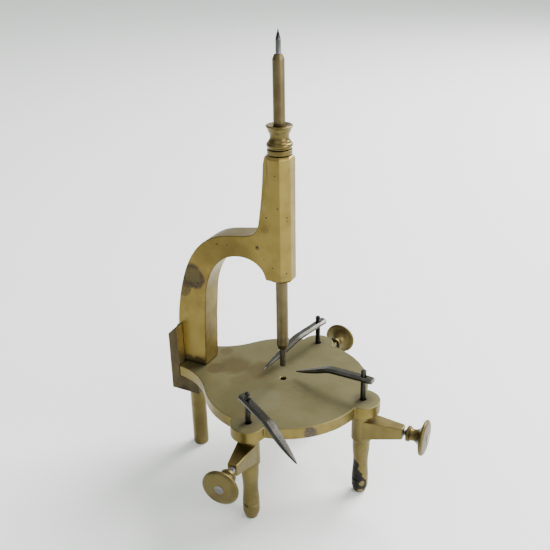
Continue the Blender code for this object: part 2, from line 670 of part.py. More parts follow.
def make_station(shop, root, station):
    """One clamp leg with its dog and thumb screw."""
    name, direction, distance, leg_turn, block_length, knob_start, finger_length, finger_direction = station
    post_axis = shop.frame(f"station_{name}", root, (*station_centre(direction, distance), 0.0))
    yaw = shop.frame(f"leg_turn_{name}", post_axis, turn=(0.0, 0.0, direction + leg_turn))
    screw_axis = shop.frame(f"screw_axis_{name}", yaw, (0.0, 0.0, SCREW_HEIGHT), (0.0, 90.0, 0.0))
    finger_axis = shop.frame(f"finger_axis_{name}", post_axis, turn=(0.0, 0.0, finger_direction))
    make_clamp_leg(shop, name, post_axis, yaw, screw_axis, block_length)
    make_thumb_screw(shop, name, screw_axis, block_length, knob_start)
    make_post(shop, name, post_axis)
    make_finger(shop, name, finger_axis, post_axis, finger_length)


def main():
    """Build every piece of the tool."""
    clear_scene()
    shop = Workshop()
    root = shop.frame("spindle_axis", None, (SPINDLE_X, SPINDLE_Y, LEG_DEPTH))
    make_table(shop, root)
    make_arm(shop, root)
    make_heel(shop, root)
    make_spindle(shop, root)
    make_collet(shop, root)
    for station in STATIONS:
        make_station(shop, root, station)
    bpy.context.view_layer.update()


main()
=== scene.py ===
"""Looks of a clockmaker's uprighting tool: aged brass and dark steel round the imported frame.

The tool's own frame is in millimetres. Its origin is where the spindle's axis meets the table's top,
X runs from the heel towards the spindle and Z is up. Every mesh is made there and then put in place.
"""
import logging
import math
import random
from collections.abc import Iterable, Sequence
from dataclasses import dataclass, field
from enum import Enum

import bmesh
import bpy
from mathutils import Matrix, Vector


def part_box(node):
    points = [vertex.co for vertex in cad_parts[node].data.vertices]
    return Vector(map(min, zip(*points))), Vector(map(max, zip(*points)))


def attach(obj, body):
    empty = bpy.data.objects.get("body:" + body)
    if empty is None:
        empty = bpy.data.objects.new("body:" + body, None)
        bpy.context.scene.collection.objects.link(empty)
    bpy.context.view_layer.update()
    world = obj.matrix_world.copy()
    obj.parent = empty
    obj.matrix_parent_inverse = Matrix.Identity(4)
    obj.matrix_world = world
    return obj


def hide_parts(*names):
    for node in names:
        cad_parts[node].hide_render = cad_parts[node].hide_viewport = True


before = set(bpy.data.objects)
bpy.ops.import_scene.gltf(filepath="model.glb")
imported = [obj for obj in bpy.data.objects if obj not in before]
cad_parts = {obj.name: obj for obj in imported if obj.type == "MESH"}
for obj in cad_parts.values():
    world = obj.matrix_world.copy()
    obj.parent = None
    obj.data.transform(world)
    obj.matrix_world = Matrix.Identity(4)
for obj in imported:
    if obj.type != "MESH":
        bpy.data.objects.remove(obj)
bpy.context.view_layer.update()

LOG = logging.getLogger("uprighting_tool")
MM = 0.001
GAP = 0.3
FINE_STEPS = 72
BORE_STEPS = 36
PIN_STEPS = 40
HOLE_STEPS = 48

Point = tuple[float, float]
Colour = tuple[float, float, float]
Place = tuple[float, float, float]


@dataclass(frozen=True)
class Datum:
    """Where the tool's own millimetre frame lies in the world."""

    origin: Vector

    @classmethod
    def read(cls) -> "Datum":
        """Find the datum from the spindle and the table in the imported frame.

        Returns:
            The datum.
        """
        low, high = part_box("spindle_rod")
        table_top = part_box("table_plate")[1].z
        return cls(Vector(((low.x + high.x) / 2, (low.y + high.y) / 2, table_top)))

    def to_world(self) -> Matrix:
        """Matrix from the tool's millimetres to the world's metres."""
        return Matrix.Translation(self.origin) @ Matrix.Scale(MM, 4)

    def world(self, place: Place) -> Vector:
        """World position of a place given in the tool's millimetres."""
        return self.origin + Vector(place) * MM


# ---------------------------------------------------------------- outlines


def arc(centre: Point, radius: float, start: float, end: float, step: float = 3.0) -> list[Point]:
    """Points on an arc, both ends included.

    Args:
        centre: Centre of the arc.
        radius: Radius of the arc.
        start: First angle, in degrees.
        end: Last angle, in degrees.
        step: Largest angle between points, in degrees.

    Returns:
        The points from start to end.
    """
    count = max(2, math.ceil(abs(end - start) / step))
    points = []
    for i in range(count + 1):
        angle = math.radians(start + (end - start) * i / count)
        points.append((centre[0] + radius * math.cos(angle), centre[1] + radius * math.sin(angle)))
    return points


def bezier(corners: Sequence[Point], count: int = 20) -> list[Point]:
    """Points on a cubic curve, its first end included and its last left out.

    Args:
        corners: The curve's two ends and, between them, its two handles.
        count: Number of points.

    Returns:
        The points along the curve.
    """
    points = []
    for i in range(count):
        t = i / count
        weights = ((1 - t) ** 3, 3 * t * (1 - t) ** 2, 3 * t ** 2 * (1 - t), t ** 3)
        points.append(tuple(sum(w * p[k] for w, p in zip(weights, corners)) for k in (0, 1)))
    return points


def rounded(corners: Sequence[tuple[float, ...]], segments: int = 5) -> list[Point]:
    """Outline whose corners are rounded where they carry a radius.

    Args:
        corners: Corners as (across, up) or as (across, up, radius). The two ends stay sharp.
        segments: Number of short edges that each rounded corner gets.

    Returns:
        The points of the outline.
    """
    points = []
    for i, corner in enumerate(corners):
        here = Vector(corner[:2])
        if len(corner) < 3 or i in (0, len(corners) - 1):
            points.append(tuple(here))
            continue
        before = Vector(corners[i - 1][:2]) - here
        after = Vector(corners[i + 1][:2]) - here
        reach = corner[2] / math.tan(before.angle(after) / 2)
        start = here + before.normalized() * min(reach, 0.48 * before.length)
        end = here + after.normalized() * min(reach, 0.48 * after.length)
        for k in range(segments + 1):
            t = k / segments
            points.append(tuple(start * (1 - t) ** 2 + here * 2 * t * (1 - t) + end * t ** 2))
    return points


def smooth_line(points: Sequence[Point], parts: int = 5) -> list[Point]:
    """Smooth line through points, for waists and flares.

    Args:
        points: Points that the line passes through.
        parts: Number of pieces that each stretch is cut into.

    Returns:
        The points of a Catmull-Rom curve, both ends included.
    """
    ends = [points[0], *points, points[-1]]
    line = []
    for a, b, c, d in zip(ends, ends[1:], ends[2:], ends[3:]):
        for k in range(parts):
            t = k / parts
            line.append(tuple(
                0.5 * (2 * b[i] + (c[i] - a[i]) * t + (2 * a[i] - 5 * b[i] + 4 * c[i] - d[i]) * t ** 2
                       + (3 * b[i] - a[i] - 3 * c[i] + d[i]) * t ** 3) for i in (0, 1)))
    line.append(tuple(points[-1]))
    return line


# ---------------------------------------------------------------- geometry trees


class NodeBuilder:
    """Adds nodes to a tree."""

    def __init__(self, tree: bpy.types.NodeTree) -> None:
        """Take the tree to build in."""
        self.tree = tree

    def add(self, kind: str, inputs: dict | None = None, **settings: object) -> bpy.types.Node:
        """Add a node.

        Args:
            kind: The node's type.
            inputs: Sockets or plain values by input name or number.
            settings: Properties of the node.

        Returns:
            The new node.
        """
        node = self.tree.nodes.new(kind)
        for name, value in settings.items():
            setattr(node, name, value)
        for key, value in (inputs or {}).items():
            if isinstance(value, bpy.types.NodeSocket):
                self.tree.links.new(value, node.inputs[key])
            else:
                node.inputs[key].default_value = value
        return node

    def math(self, operation: str, *values: object) -> bpy.types.NodeSocket:
        """Output of a Math node on one, two or three values."""
        return self.add("ShaderNodeMath", dict(enumerate(values)), operation=operation).outputs[0]


class GeometryTree(NodeBuilder):
    """A Geometry Nodes tree, built in script, that turns a base mesh into a finished one."""

    def __init__(self, name: str, inputs: dict[str, tuple[str, float | None]]) -> None:
        """Make the tree's sockets.

        Args:
            name: Name of the tree.
            inputs: Kind and first value of each named input.
        """
        super().__init__(bpy.data.node_groups.new(name, "GeometryNodeTree"))
        sockets = self.tree.interface
        sockets.new_socket("Geometry", in_out="INPUT", socket_type="NodeSocketGeometry")
        self.identifiers = {}
        for label, (kind, value) in {**inputs, "Material": ("Material", None)}.items():
            socket = sockets.new_socket(label, in_out="INPUT", socket_type=f"NodeSocket{kind}")
            if value is not None:
                socket.default_value = value
            self.identifiers[label] = socket.identifier
        sockets.new_socket("Geometry", in_out="OUTPUT", socket_type="NodeSocketGeometry")
        self.given = self.tree.nodes.new("NodeGroupInput").outputs

    def close(self, geometry: bpy.types.NodeSocket) -> None:
        """End the tree with Realize Instances and Set Material.

        Args:
            geometry: What the tree has made.
        """
        real = self.add("GeometryNodeRealizeInstances", {"Geometry": geometry})
        dressed = self.add("GeometryNodeSetMaterial", {
            "Geometry": real.outputs[0], "Material": self.given["Material"]})
        result = self.add("NodeGroupOutput")
        self.tree.links.new(dressed.outputs[0], result.inputs["Geometry"])

    def run(self, base: bpy.types.Mesh, material: bpy.types.Material, **values: float) -> bpy.types.Mesh:
        """Run the tree on a base mesh.

        Args:
            base: Mesh that the tree starts from.
            material: Material of the result.
            values: Named inputs, with underscores for spaces.

        Returns:
            The result as a plain mesh.
        """
        holder = bpy.data.objects.new("blank", base)
        bpy.context.scene.collection.objects.link(holder)
        modifier = holder.modifiers.new("Tree", "NODES")
        modifier.node_group = self.tree
        modifier[self.identifiers["Material"]] = material
        for label, value in values.items():
            modifier[self.identifiers[label.replace("_", " ")]] = value
        mesh = plain_mesh(holder)
        bpy.data.objects.remove(holder, do_unlink=True)
        return mesh


class LatheTree(GeometryTree):
    """Turns a profile about Z, and cuts a screw thread on a stretch of it where it is asked to."""

    def __init__(self) -> None:
        """Build the tree."""
        super().__init__("lathe", {
            "Steps": ("Int", FINE_STEPS), "Points": ("Int", 2), "Pitch": ("Float", 0.7),
            "Thread Depth": ("Float", 0.0), "Thread Low": ("Float", 0.0), "Thread High": ("Float", 0.0)})
        steps = self.given["Steps"]
        count = self.given["Points"]
        grid = self.add("GeometryNodeMeshGrid", {
            "Vertices X": self.math("ADD", steps, 1.0), "Vertices Y": count})
        index = self.add("GeometryNodeInputIndex").outputs[0]
        spoke = self.math("FLOOR", self.math("DIVIDE", self.math("ADD", index, 0.5), count))
        along = self.math("FLOOR", self.math("MODULO", self.math("ADD", index, 0.5), count))
        turn = self.math("DIVIDE", spoke, steps)
        place = self.add("GeometryNodeInputPosition").outputs[0]
        sample = self.add("GeometryNodeSampleIndex", data_type="FLOAT_VECTOR")
        self.tree.links.new(self.given["Geometry"], sample.inputs["Geometry"])
        self.tree.links.new(place, sample.inputs["Value"])
        self.tree.links.new(along, sample.inputs["Index"])
        profile = self.add("ShaderNodeSeparateXYZ", {0: sample.outputs[0]})
        height = profile.outputs["Z"]
        radius = self.math("SUBTRACT", profile.outputs["X"], self.thread(height, turn))
        angle = self.math("MULTIPLY", turn, 2 * math.pi)
        spot = self.add("ShaderNodeCombineXYZ", {
            "X": self.math("MULTIPLY", radius, self.math("COSINE", angle)),
            "Y": self.math("MULTIPLY", radius, self.math("SINE", angle)), "Z": height})
        placed = self.add("GeometryNodeSetPosition", {
            "Geometry": grid.outputs["Mesh"], "Position": spot.outputs[0]})
        merged = self.add("GeometryNodeMergeByDistance", {"Geometry": placed.outputs[0], "Distance": 0.0005})
        self.close(merged.outputs[0])

    def thread(self, height: bpy.types.NodeSocket, turn: bpy.types.NodeSocket) -> bpy.types.NodeSocket:
        """Depth of the thread's groove, nought outside its stretch.

        Args:
            height: Height on the piece.
            turn: Share of a full turn round it.

        Returns:
            The groove's depth there.
        """
        lead = self.math("SUBTRACT", self.math("DIVIDE", height, self.given["Pitch"]), turn)
        wave = self.math("ABSOLUTE", self.math("SUBTRACT", self.math("FRACT", lead), 0.5))
        deep = self.math("MULTIPLY", self.math("MULTIPLY", wave, 2.0), self.given["Thread Depth"])
        above = self.math("GREATER_THAN", height, self.given["Thread Low"])
        below = self.math("LESS_THAN", height, self.given["Thread High"])
        return self.math("MULTIPLY", deep, self.math("MULTIPLY", above, below))

    def turn(self, profile: Sequence[Point], material: bpy.types.Material, steps: int = FINE_STEPS,
             hollow: bool = False, **thread: float) -> bpy.types.Mesh:
        """Turn a profile.

        Args:
            profile: (radius, height) points, down the outer side.
            material: Material of the piece.
            steps: Number of sides.
            hollow: Whether the profile closes on itself instead of ending on the axis.
            thread: Pitch, Thread_Depth, Thread_Low and Thread_High.

        Returns:
            The turned mesh, closed and facing out.
        """
        points = [*profile, profile[0]] if hollow else list(profile)
        base = bpy.data.meshes.new("profile")
        base.from_pydata([(r, 0.0, z) for r, z in points], [(i, i + 1) for i in range(len(points) - 1)], [])
        mesh = self.run(base, material, Steps=steps, Points=len(points), **thread)
        return tidy(mesh)


class PlateTree(GeometryTree):
    """Fills a closed outline and gives it a thickness, from Z down."""

    def __init__(self) -> None:
        """Build the tree."""
        super().__init__("plate", {"Thickness": ("Float", 1.0)})
        outline = self.add("GeometryNodeMeshToCurve", {"Mesh": self.given["Geometry"]})
        filled = self.add("GeometryNodeFillCurve", {"Curve": outline.outputs[0]}, mode="NGONS")
        drop = self.add("ShaderNodeCombineXYZ", {"Z": self.math("MULTIPLY", self.given["Thickness"], -1.0)})
        walls = self.add("GeometryNodeExtrudeMesh", {
            "Mesh": filled.outputs[0], "Offset": drop.outputs[0], "Offset Scale": 1.0, "Individual": False},
            mode="FACES")
        both = self.add("GeometryNodeJoinGeometry")
        self.tree.links.new(walls.outputs["Mesh"], both.inputs[0])
        self.tree.links.new(filled.outputs[0], both.inputs[0])
        merged = self.add("GeometryNodeMergeByDistance", {"Geometry": both.outputs[0], "Distance": 0.0005})
        self.close(merged.outputs[0])

    def saw(self, outline: Sequence[Point], thickness: float, material: bpy.types.Material,
            upright: bool = False) -> bpy.types.Mesh:
        """Saw a plate to an outline.

        Args:
            outline: Corners of the closed outline.
            thickness: Thickness of the plate.
            material: Material of the plate.
            upright: Whether it stands in XZ, centred on Y, instead of lying with its top at Z nought.

        Returns:
            The plate's mesh.
        """
        base = bpy.data.meshes.new("outline")
        count = len(outline)
        base.from_pydata([(x, y, 0.0) for x, y in outline], [(i, (i + 1) % count) for i in range(count)], [])
        mesh = self.run(base, material, Thickness=thickness)
        if upright:
            raised = Matrix.Translation((0, 0, thickness / 2))
            mesh.transform(Matrix.Rotation(math.radians(90.0), 4, "X") @ raised)
        return tidy(mesh)


class PitTree(GeometryTree):
    """Puts a small ball on every point, to be cut out as a pit. Point attribute size is its radius."""

    def __init__(self) -> None:
        """Build the tree."""
        super().__init__("pits", {"Seed": ("Int", 0), "Spread": ("Float", 0.1)})
        ball = self.add("GeometryNodeMeshIcoSphere", {"Radius": 1.0, "Subdivisions": 2})
        size = self.add("GeometryNodeInputNamedAttribute", {"Name": "size"}, data_type="FLOAT")
        chance = self.add("FunctionNodeRandomValue", data_type="FLOAT")
        chance_inputs = [socket for socket in chance.inputs if socket.type == "VALUE"]
        self.tree.links.new(self.math("SUBTRACT", 1.0, self.given["Spread"]), chance_inputs[0])
        self.tree.links.new(self.math("ADD", 1.0, self.given["Spread"]), chance_inputs[1])
        self.tree.links.new(self.given["Seed"], chance.inputs["Seed"])
        factor = next(socket for socket in chance.outputs if socket.type == "VALUE" and socket.enabled)
        radius = next(socket for socket in size.outputs if socket.type == "VALUE" and socket.enabled)
        balls = self.add("GeometryNodeInstanceOnPoints", {
            "Points": self.given["Geometry"], "Instance": ball.outputs["Mesh"],
            "Scale": self.math("MULTIPLY", radius, factor)})
        self.close(balls.outputs[0])


class RowTree(GeometryTree):
    """Repeats a piece along a straight row."""

    def __init__(self) -> None:
        """Build the tree."""
        super().__init__("row", {"Count": ("Int", 2), "Spacing": ("Float", 1.0)})
        step = self.add("ShaderNodeCombineXYZ", {"Z": self.given["Spacing"]})
        line = self.add("GeometryNodeMeshLine", {"Count": self.given["Count"], "Offset": step.outputs[0]})
        row = self.add("GeometryNodeInstanceOnPoints", {
            "Points": line.outputs[0], "Instance": self.given["Geometry"]})
        self.close(row.outputs[0])


# ---------------------------------------------------------------- mesh work


def plain_mesh(holder: bpy.types.Object) -> bpy.types.Mesh:
    """Mesh of an object with all its modifiers applied.

    Args:
        holder: The object.

    Returns:
        A new mesh that needs no modifier.
    """
    bpy.context.view_layer.update()
    graph = bpy.context.evaluated_depsgraph_get()
    return bpy.data.meshes.new_from_object(holder.evaluated_get(graph))


def mesh_from(grid: bmesh.types.BMesh, name: str, material: bpy.types.Material) -> bpy.types.Mesh:
    """Turn a bmesh into a mesh, and use it up.

    Args:
        grid: The bmesh.
        name: Name of the mesh.
        material: Its material.

    Returns:
        The mesh.
    """
    mesh = bpy.data.meshes.new(name)
    grid.to_mesh(mesh)
    grid.free()
    mesh.materials.append(material)
    return mesh


def tidy(mesh: bpy.types.Mesh) -> bpy.types.Mesh:
    """Merge doubles and turn every face outwards.

    Args:
        mesh: Mesh to put right, in place.

    Returns:
        The same mesh.
    """
    grid = bmesh.new()
    grid.from_mesh(mesh)
    bmesh.ops.remove_doubles(grid, verts=grid.verts, dist=0.0005)
    bmesh.ops.dissolve_degenerate(grid, edges=grid.edges, dist=0.0002)
    bmesh.ops.recalc_face_normals(grid, faces=grid.faces)
    grid.to_mesh(mesh)
    grid.free()
    return mesh


class Bench:
    """Where meshes are cut, joined, softened and set in place as pieces of the tool."""

    def __init__(self, datum: Datum) -> None:
        """Lay out the bench and its trees."""
        self.datum = datum
        self.lathe = LatheTree()
        self.plates = PlateTree()
        self.pits = PitTree()
        self.rows = RowTree()

    def blank(self, name: str, mesh: bpy.types.Mesh, place: Matrix | None = None) -> bpy.types.Object:
        """Put a mesh on the bench as an object to work on.

        Args:
            name: Name of the object.
            mesh: Its mesh.
            place: Where the mesh is moved to first, if anywhere.

        Returns:
            The blank.
        """
        if place is not None:
            mesh.transform(place)
        work = bpy.data.objects.new(name, mesh)
        bpy.context.scene.collection.objects.link(work)
        return work

    def soften(self, work: bpy.types.Object, width: float, segments: int = 3, angle: float = 35.0) -> None:
        """Round off a blank's sharp edges.

        Args:
            work: The blank.
            width: Width of the rounding, in millimetres.
            segments: Number of steps across it.
            angle: Least angle of an edge that it takes, in degrees.
        """
        bevel = work.modifiers.new("Soften", "BEVEL")
        bevel.width = width
        bevel.segments = segments
        bevel.limit_method = "ANGLE"
        bevel.angle_limit = math.radians(angle)
        bevel.miter_outer = "MITER_ARC"
        self.settle(work)

    def settle(self, work: bpy.types.Object) -> None:
        """Apply a blank's modifiers to its mesh.

        Args:
            work: The blank.
        """
        mesh = plain_mesh(work)
        work.modifiers.clear()
        work.data = mesh

    def combine(self, work: bpy.types.Object, other: bpy.types.Object, operation: str) -> None:
        """Join another blank to this one, or cut it away, and use it up.

        Args:
            work: The blank that stays.
            other: The blank that is used up.
            operation: UNION or DIFFERENCE.
        """
        boolean = work.modifiers.new(operation, "BOOLEAN")
        boolean.operation = operation
        boolean.solver = "EXACT"
        boolean.material_mode = "TRANSFER"
        boolean.object = other
        self.settle(work)
        bpy.data.objects.remove(other, do_unlink=True)

    def drill(self, work: bpy.types.Object, profile: Sequence[Point], material: bpy.types.Material,
              steps: int = BORE_STEPS, place: Matrix | None = None) -> None:
        """Cut a turned shape out of a blank.

        Args:
            work: The blank.
            profile: (radius, height) points of the shape.
            material: Material of the cut face.
            steps: Number of sides.
            place: Where the shape goes, if not upright on the spindle's axis.
        """
        cutter = self.blank("bore", self.lathe.turn(profile, material, steps), place)
        self.combine(work, cutter, "DIFFERENCE")

    def finish(self, work: bpy.types.Object, finish: "Finish", body: str, nodes: Iterable[str],
               crease: float = 32.0) -> bpy.types.Object:
        """Make a blank a piece of the model.

        Args:
            work: The finished blank.
            finish: Its finish; not used.
            body: Body that it rides on.
            nodes: Nodes of the frame that it stands for.
            crease: Angle past which an edge stays sharp, in degrees.

        Returns:
            The piece, in place.
        """
        work.data.shade_smooth()
        work.data.set_sharp_from_angle(angle=math.radians(crease))
        weighted = work.modifiers.new("Flat faces", "WEIGHTED_NORMAL")
        weighted.keep_sharp = True
        self.settle(work)
        work.data.transform(self.datum.to_world())
        work.data.name = work.name
        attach(work, body)
        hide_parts(*nodes)
        LOG.info("%s: %d faces, rides on %s", work.name, len(work.data.polygons), body)
        return work


# ---------------------------------------------------------------- finishes


@dataclass(frozen=True)
class Stain:
    """A patch of another colour on one finish, in the tool's own millimetres. Some are real marks on the
    metal and some are painted shade.
    """

    place: Place
    radius: float
    colour: Colour
    strength: float = 0.85
    ragged: float = 1.2
    fade: float = 0.35
    mottle: float = 0.4


class ShaderTree(NodeBuilder):
    """A Principled material under construction. Its patterns read Object coordinates, in metres."""

    def __init__(self, name: str) -> None:
        """Start a material.

        Args:
            name: Name of the material.
        """
        self.material = bpy.data.materials.new(name)
        self.material.use_nodes = True
        super().__init__(self.material.node_tree)
        self.shader = self.tree.nodes["Principled BSDF"]
        self.place = self.add("ShaderNodeTexCoord").outputs["Object"]

    def noise(self, size: float, detail: float = 3.0, stretch: Place = (1.0, 1.0, 1.0),
              shift: Place = (0.0, 0.0, 0.0), rough: float = 0.55) -> bpy.types.NodeSocket:
        """Noise on the surface.

        Args:
            size: Width of its features, in millimetres.
            detail: Number of finer layers.
            stretch: Factor for each direction, small where the features are long.
            shift: Where the pattern is read from.
            rough: Weight of the finer layers.

        Returns:
            The noise, about nought to one.
        """
        scale = tuple(factor / (size * MM) for factor in stretch)
        mapped = self.add("ShaderNodeMapping", {"Vector": self.place, "Scale": scale, "Location": shift})
        return self.add("ShaderNodeTexNoise", {"Vector": mapped.outputs[0], "Scale": 1.0, "Detail": detail,
                                               "Roughness": rough}).outputs["Fac"]

    def step(self, value: bpy.types.NodeSocket, low: float, high: float) -> bpy.types.NodeSocket:
        """Smooth step.

        Args:
            value: What is compared.
            low: Value where the step is nought.
            high: Value where it is one.

        Returns:
            The step.
        """
        node = self.add("ShaderNodeMapRange", {"Value": value, "From Min": low, "From Max": high},
                        interpolation_type="SMOOTHSTEP")
        return node.outputs["Result"]

    def mix(self, factor: object, first: object, second: object) -> bpy.types.NodeSocket:
        """Blend two colours, given as sockets or as plain colours.

        Args:
            factor: Share of the second.
            first: First colour.
            second: Second colour.

        Returns:
            The blend.
        """
        first, second = ((*c, 1.0) if isinstance(c, tuple) else c for c in (first, second))
        node = self.add("ShaderNodeMix", {0: factor, 6: first, 7: second}, data_type="RGBA")
        return node.outputs[2]

    def set(self, name: str, value: object) -> None:
        """Give the shader one input, as a link or on its own socket.

        Args:
            name: Name of the input.
            value: Socket or plain value.
        """
        if isinstance(value, bpy.types.NodeSocket):
            self.tree.links.new(value, self.shader.inputs[name])
        else:
            self.shader.inputs[name].default_value = value

    def edges(self, width: float) -> bpy.types.NodeSocket:
        """Find the worn edges.

        Args:
            width: Reach of the wear, in millimetres.

        Returns:
            One along an edge, nought on open surface.
        """
        soft = self.add("ShaderNodeBevel", {"Radius": width * MM}, samples=8).outputs[0]
        true = self.add("ShaderNodeNewGeometry").outputs["True Normal"]
        same = self.add("ShaderNodeVectorMath", {0: soft, 1: true}, operation="DOT_PRODUCT").outputs["Value"]
        return self.step(same, 0.985, 0.86)

    def crevice_grime_and_shade(self, reach: float) -> bpy.types.NodeSocket:
        """Find the crevices, where grime and painted shade go.

        Args:
            reach: How near another face has to be, in millimetres.

        Returns:
            One deep in crevices, nought on open surface.
        """
        open_sky = self.add("ShaderNodeAmbientOcclusion", {"Distance": reach * MM}, samples=6).outputs["AO"]
        return self.step(open_sky, 0.62, 0.18)

    def within(self, stain: Stain, datum: Datum) -> bpy.types.NodeSocket:
        """A stain's strength: its own within a ragged, mottled ball, and nought outside.

        Args:
            stain: The stain.
            datum: Where the stain's place is counted from.

        Returns:
            The mask.
        """
        centre = datum.world(stain.place)
        radius = stain.radius
        apart = self.add("ShaderNodeVectorMath", {0: self.place, 1: centre}, operation="DISTANCE")
        far = apart.outputs["Value"]
        swing = self.math("SUBTRACT", self.noise(radius * 1.1, 6.0, rough=0.62), 0.5)
        edge = self.math("MULTIPLY_ADD", swing, 2 * stain.ragged * MM, far)
        ball = self.step(edge, radius * MM, radius * (1 - stain.fade) * MM)
        mottle = self.step(self.noise(1.1, 5.0, shift=(6.0, 3.0, 2.0), rough=0.7), 0.34, 0.56)
        share = self.math("MULTIPLY_ADD", mottle, stain.mottle * stain.strength,
                          (1 - stain.mottle) * stain.strength)
        return self.math("MULTIPLY", ball, share)


@dataclass(frozen=True)
class TopFilm:
    """Dull film on a flat top, left by lapping and handling."""

    level: float
    bright: Colour
    deep: Colour
    roughness: float = 0.2


@dataclass(frozen=True)
class AgedBrass:
    """Brass with old polish on it, tarnish in patches, and grime with painted shade in its crevices."""

    name: str
    slot: str
    bright: Colour
    deep: Colour
    tarnish: Colour
    worn: Colour
    # Colour of the freckles, and of the grime and painted shade in crevices.
    grime: Colour = (0.035, 0.024, 0.012)
    tarnish_share: float = 0.45
    patch: float = 14.0
    roughness: float = 0.36
    rough_spread: float = 0.16
    grain: Place = (1.0, 1.0, 1.0)
    scratch: float = 0.12
    worn_amount: float = 0.6
    grime_and_shade_share: float = 0.8
    top: TopFilm | None = None
    stains: tuple[Stain, ...] = ()

    def build(self, datum: Datum) -> bpy.types.Material:
        """Build the material.

        Args:
            datum: Where the patches' places are counted from.

        Returns:
            The material.
        """
        tree = ShaderTree(self.name)
        patches = tree.step(tree.noise(self.patch, 4.0), 0.38, 0.64)
        colour = tree.mix(patches, self.bright, self.deep)
        low = 0.72 - 0.4 * self.tarnish_share
        drift = tree.noise(self.patch * 1.9, 6.0, shift=(3.0, 1.0, 7.0), rough=0.65)
        film = tree.step(drift, low, low + 0.16)
        colour = tree.mix(tree.math("MULTIPLY", film, 0.7), colour, self.tarnish)
        freckles = tree.step(tree.noise(0.9, 2.0, shift=(9.0, 2.0, 4.0)), 0.66, 0.78)
        colour = tree.mix(tree.math("MULTIPLY", freckles, 0.35), colour, self.grime)
        flat = 0.0
        if self.top is not None:
            height = tree.add("ShaderNodeSeparateXYZ", {0: tree.place}).outputs["Z"]
            level = datum.world((0.0, 0.0, self.top.level)).z
            flat = tree.step(height, level - 0.3 * MM, level - 0.05 * MM)
            film_tone = tree.mix(tree.step(tree.noise(26.0, 3.0), 0.4, 0.62), self.top.bright, self.top.deep)
            colour = tree.mix(flat, colour, film_tone)
        colour = tree.mix(tree.math("MULTIPLY", tree.edges(0.45), self.worn_amount), colour, self.worn)
        spots = 0.0
        for stain in self.stains:
            mask = tree.within(stain, datum)
            colour = tree.mix(mask, colour, stain.colour)
            spots = tree.math("MAXIMUM", spots, mask)
        # Occlusion darkens crevices and corners toward the grime colour: real grime there, and painted shade
        # where shade falls.
        grime_and_shade_mask = tree.crevice_grime_and_shade(1.6)
        colour = tree.mix(tree.math("MULTIPLY", grime_and_shade_mask, self.grime_and_shade_share), colour, self.grime)
        tree.set("Base Color", colour)
        tree.set("Metallic", 1.0)
        self.surface(tree, film, spots, flat)
        return tree.material

    def surface(self, tree: ShaderTree, film: bpy.types.NodeSocket, spots: object, flat: object) -> None:
        """Set the roughness and the bump.

        Args:
            tree: The material under construction.
            film: Mask of the tarnish.
            spots: Mask of the patches.
            flat: Mask of the flat top.
        """
        grain = tree.noise(0.28, 3.0, stretch=self.grain, shift=(5.0, 5.0, 1.0))
        cloud = tree.noise(3.5, 3.0, shift=(2.0, 8.0, 3.0))
        rough = tree.math("MULTIPLY_ADD", cloud, self.rough_spread, self.roughness - self.rough_spread / 2)
        rough = tree.math("MULTIPLY_ADD", grain, 0.10, rough)
        rough = tree.math("MULTIPLY_ADD", film, 0.07, rough)
        rough = tree.math("MULTIPLY_ADD", spots, 0.18, rough)
        if self.top is not None:
            rough = tree.math("MULTIPLY_ADD", flat, self.top.roughness, rough)
        tree.set("Roughness", rough)
        waves = tree.add("ShaderNodeBump", {
            "Height": tree.noise(5.0, 2.0), "Strength": 0.10, "Distance": 0.0006})
        fine = tree.add("ShaderNodeBump", {"Height": grain, "Strength": self.scratch, "Distance": 0.00008,
                                           "Normal": waves.outputs[0]})
        tree.set("Normal", fine.outputs[0])


@dataclass(frozen=True)
class DarkSteel:
    """Old steel, blackened by handling and bright where it rubs."""

    name: str
    slot: str
    dark: Colour
    light: Colour
    worn: Colour
    rust: Colour = (0.075, 0.045, 0.03)
    roughness: float = 0.34
    grain: Place = (1.0, 1.0, 1.0)
    worn_amount: float = 0.85
    rust_share: float = 0.3
    bands: tuple[Stain, ...] = ()

    def build(self, datum: Datum) -> bpy.types.Material:
        """Build the material.

        Args:
            datum: Where the bands' places are counted from.

        Returns:
            The material.
        """
        tree = ShaderTree(self.name)
        cloud = tree.noise(5.0, 3.0)
        colour = tree.mix(tree.step(cloud, 0.35, 0.65), self.dark, self.light)
        low = 0.74 - 0.3 * self.rust_share
        rust = tree.step(tree.noise(1.8, 4.0, shift=(4.0, 4.0, 9.0)), low, low + 0.12)
        colour = tree.mix(tree.math("MULTIPLY", rust, 0.6), colour, self.rust)
        for band in self.bands:
            colour = tree.mix(tree.within(band, datum), colour, band.colour)
        colour = tree.mix(tree.math("MULTIPLY", tree.edges(0.22), self.worn_amount), colour, self.worn)
        tree.set("Base Color", colour)
        tree.set("Metallic", 1.0)
        grain = tree.noise(0.25, 2.0, stretch=self.grain)
        rough = tree.math("MULTIPLY_ADD", grain, 0.10, self.roughness - 0.05)
        tree.set("Roughness", tree.math("MULTIPLY_ADD", rust, 0.2, rough))
        bump = tree.add("ShaderNodeBump", {"Height": grain, "Strength": 0.10, "Distance": 0.00004})
        tree.set("Normal", bump.outputs[0])
        return tree.material


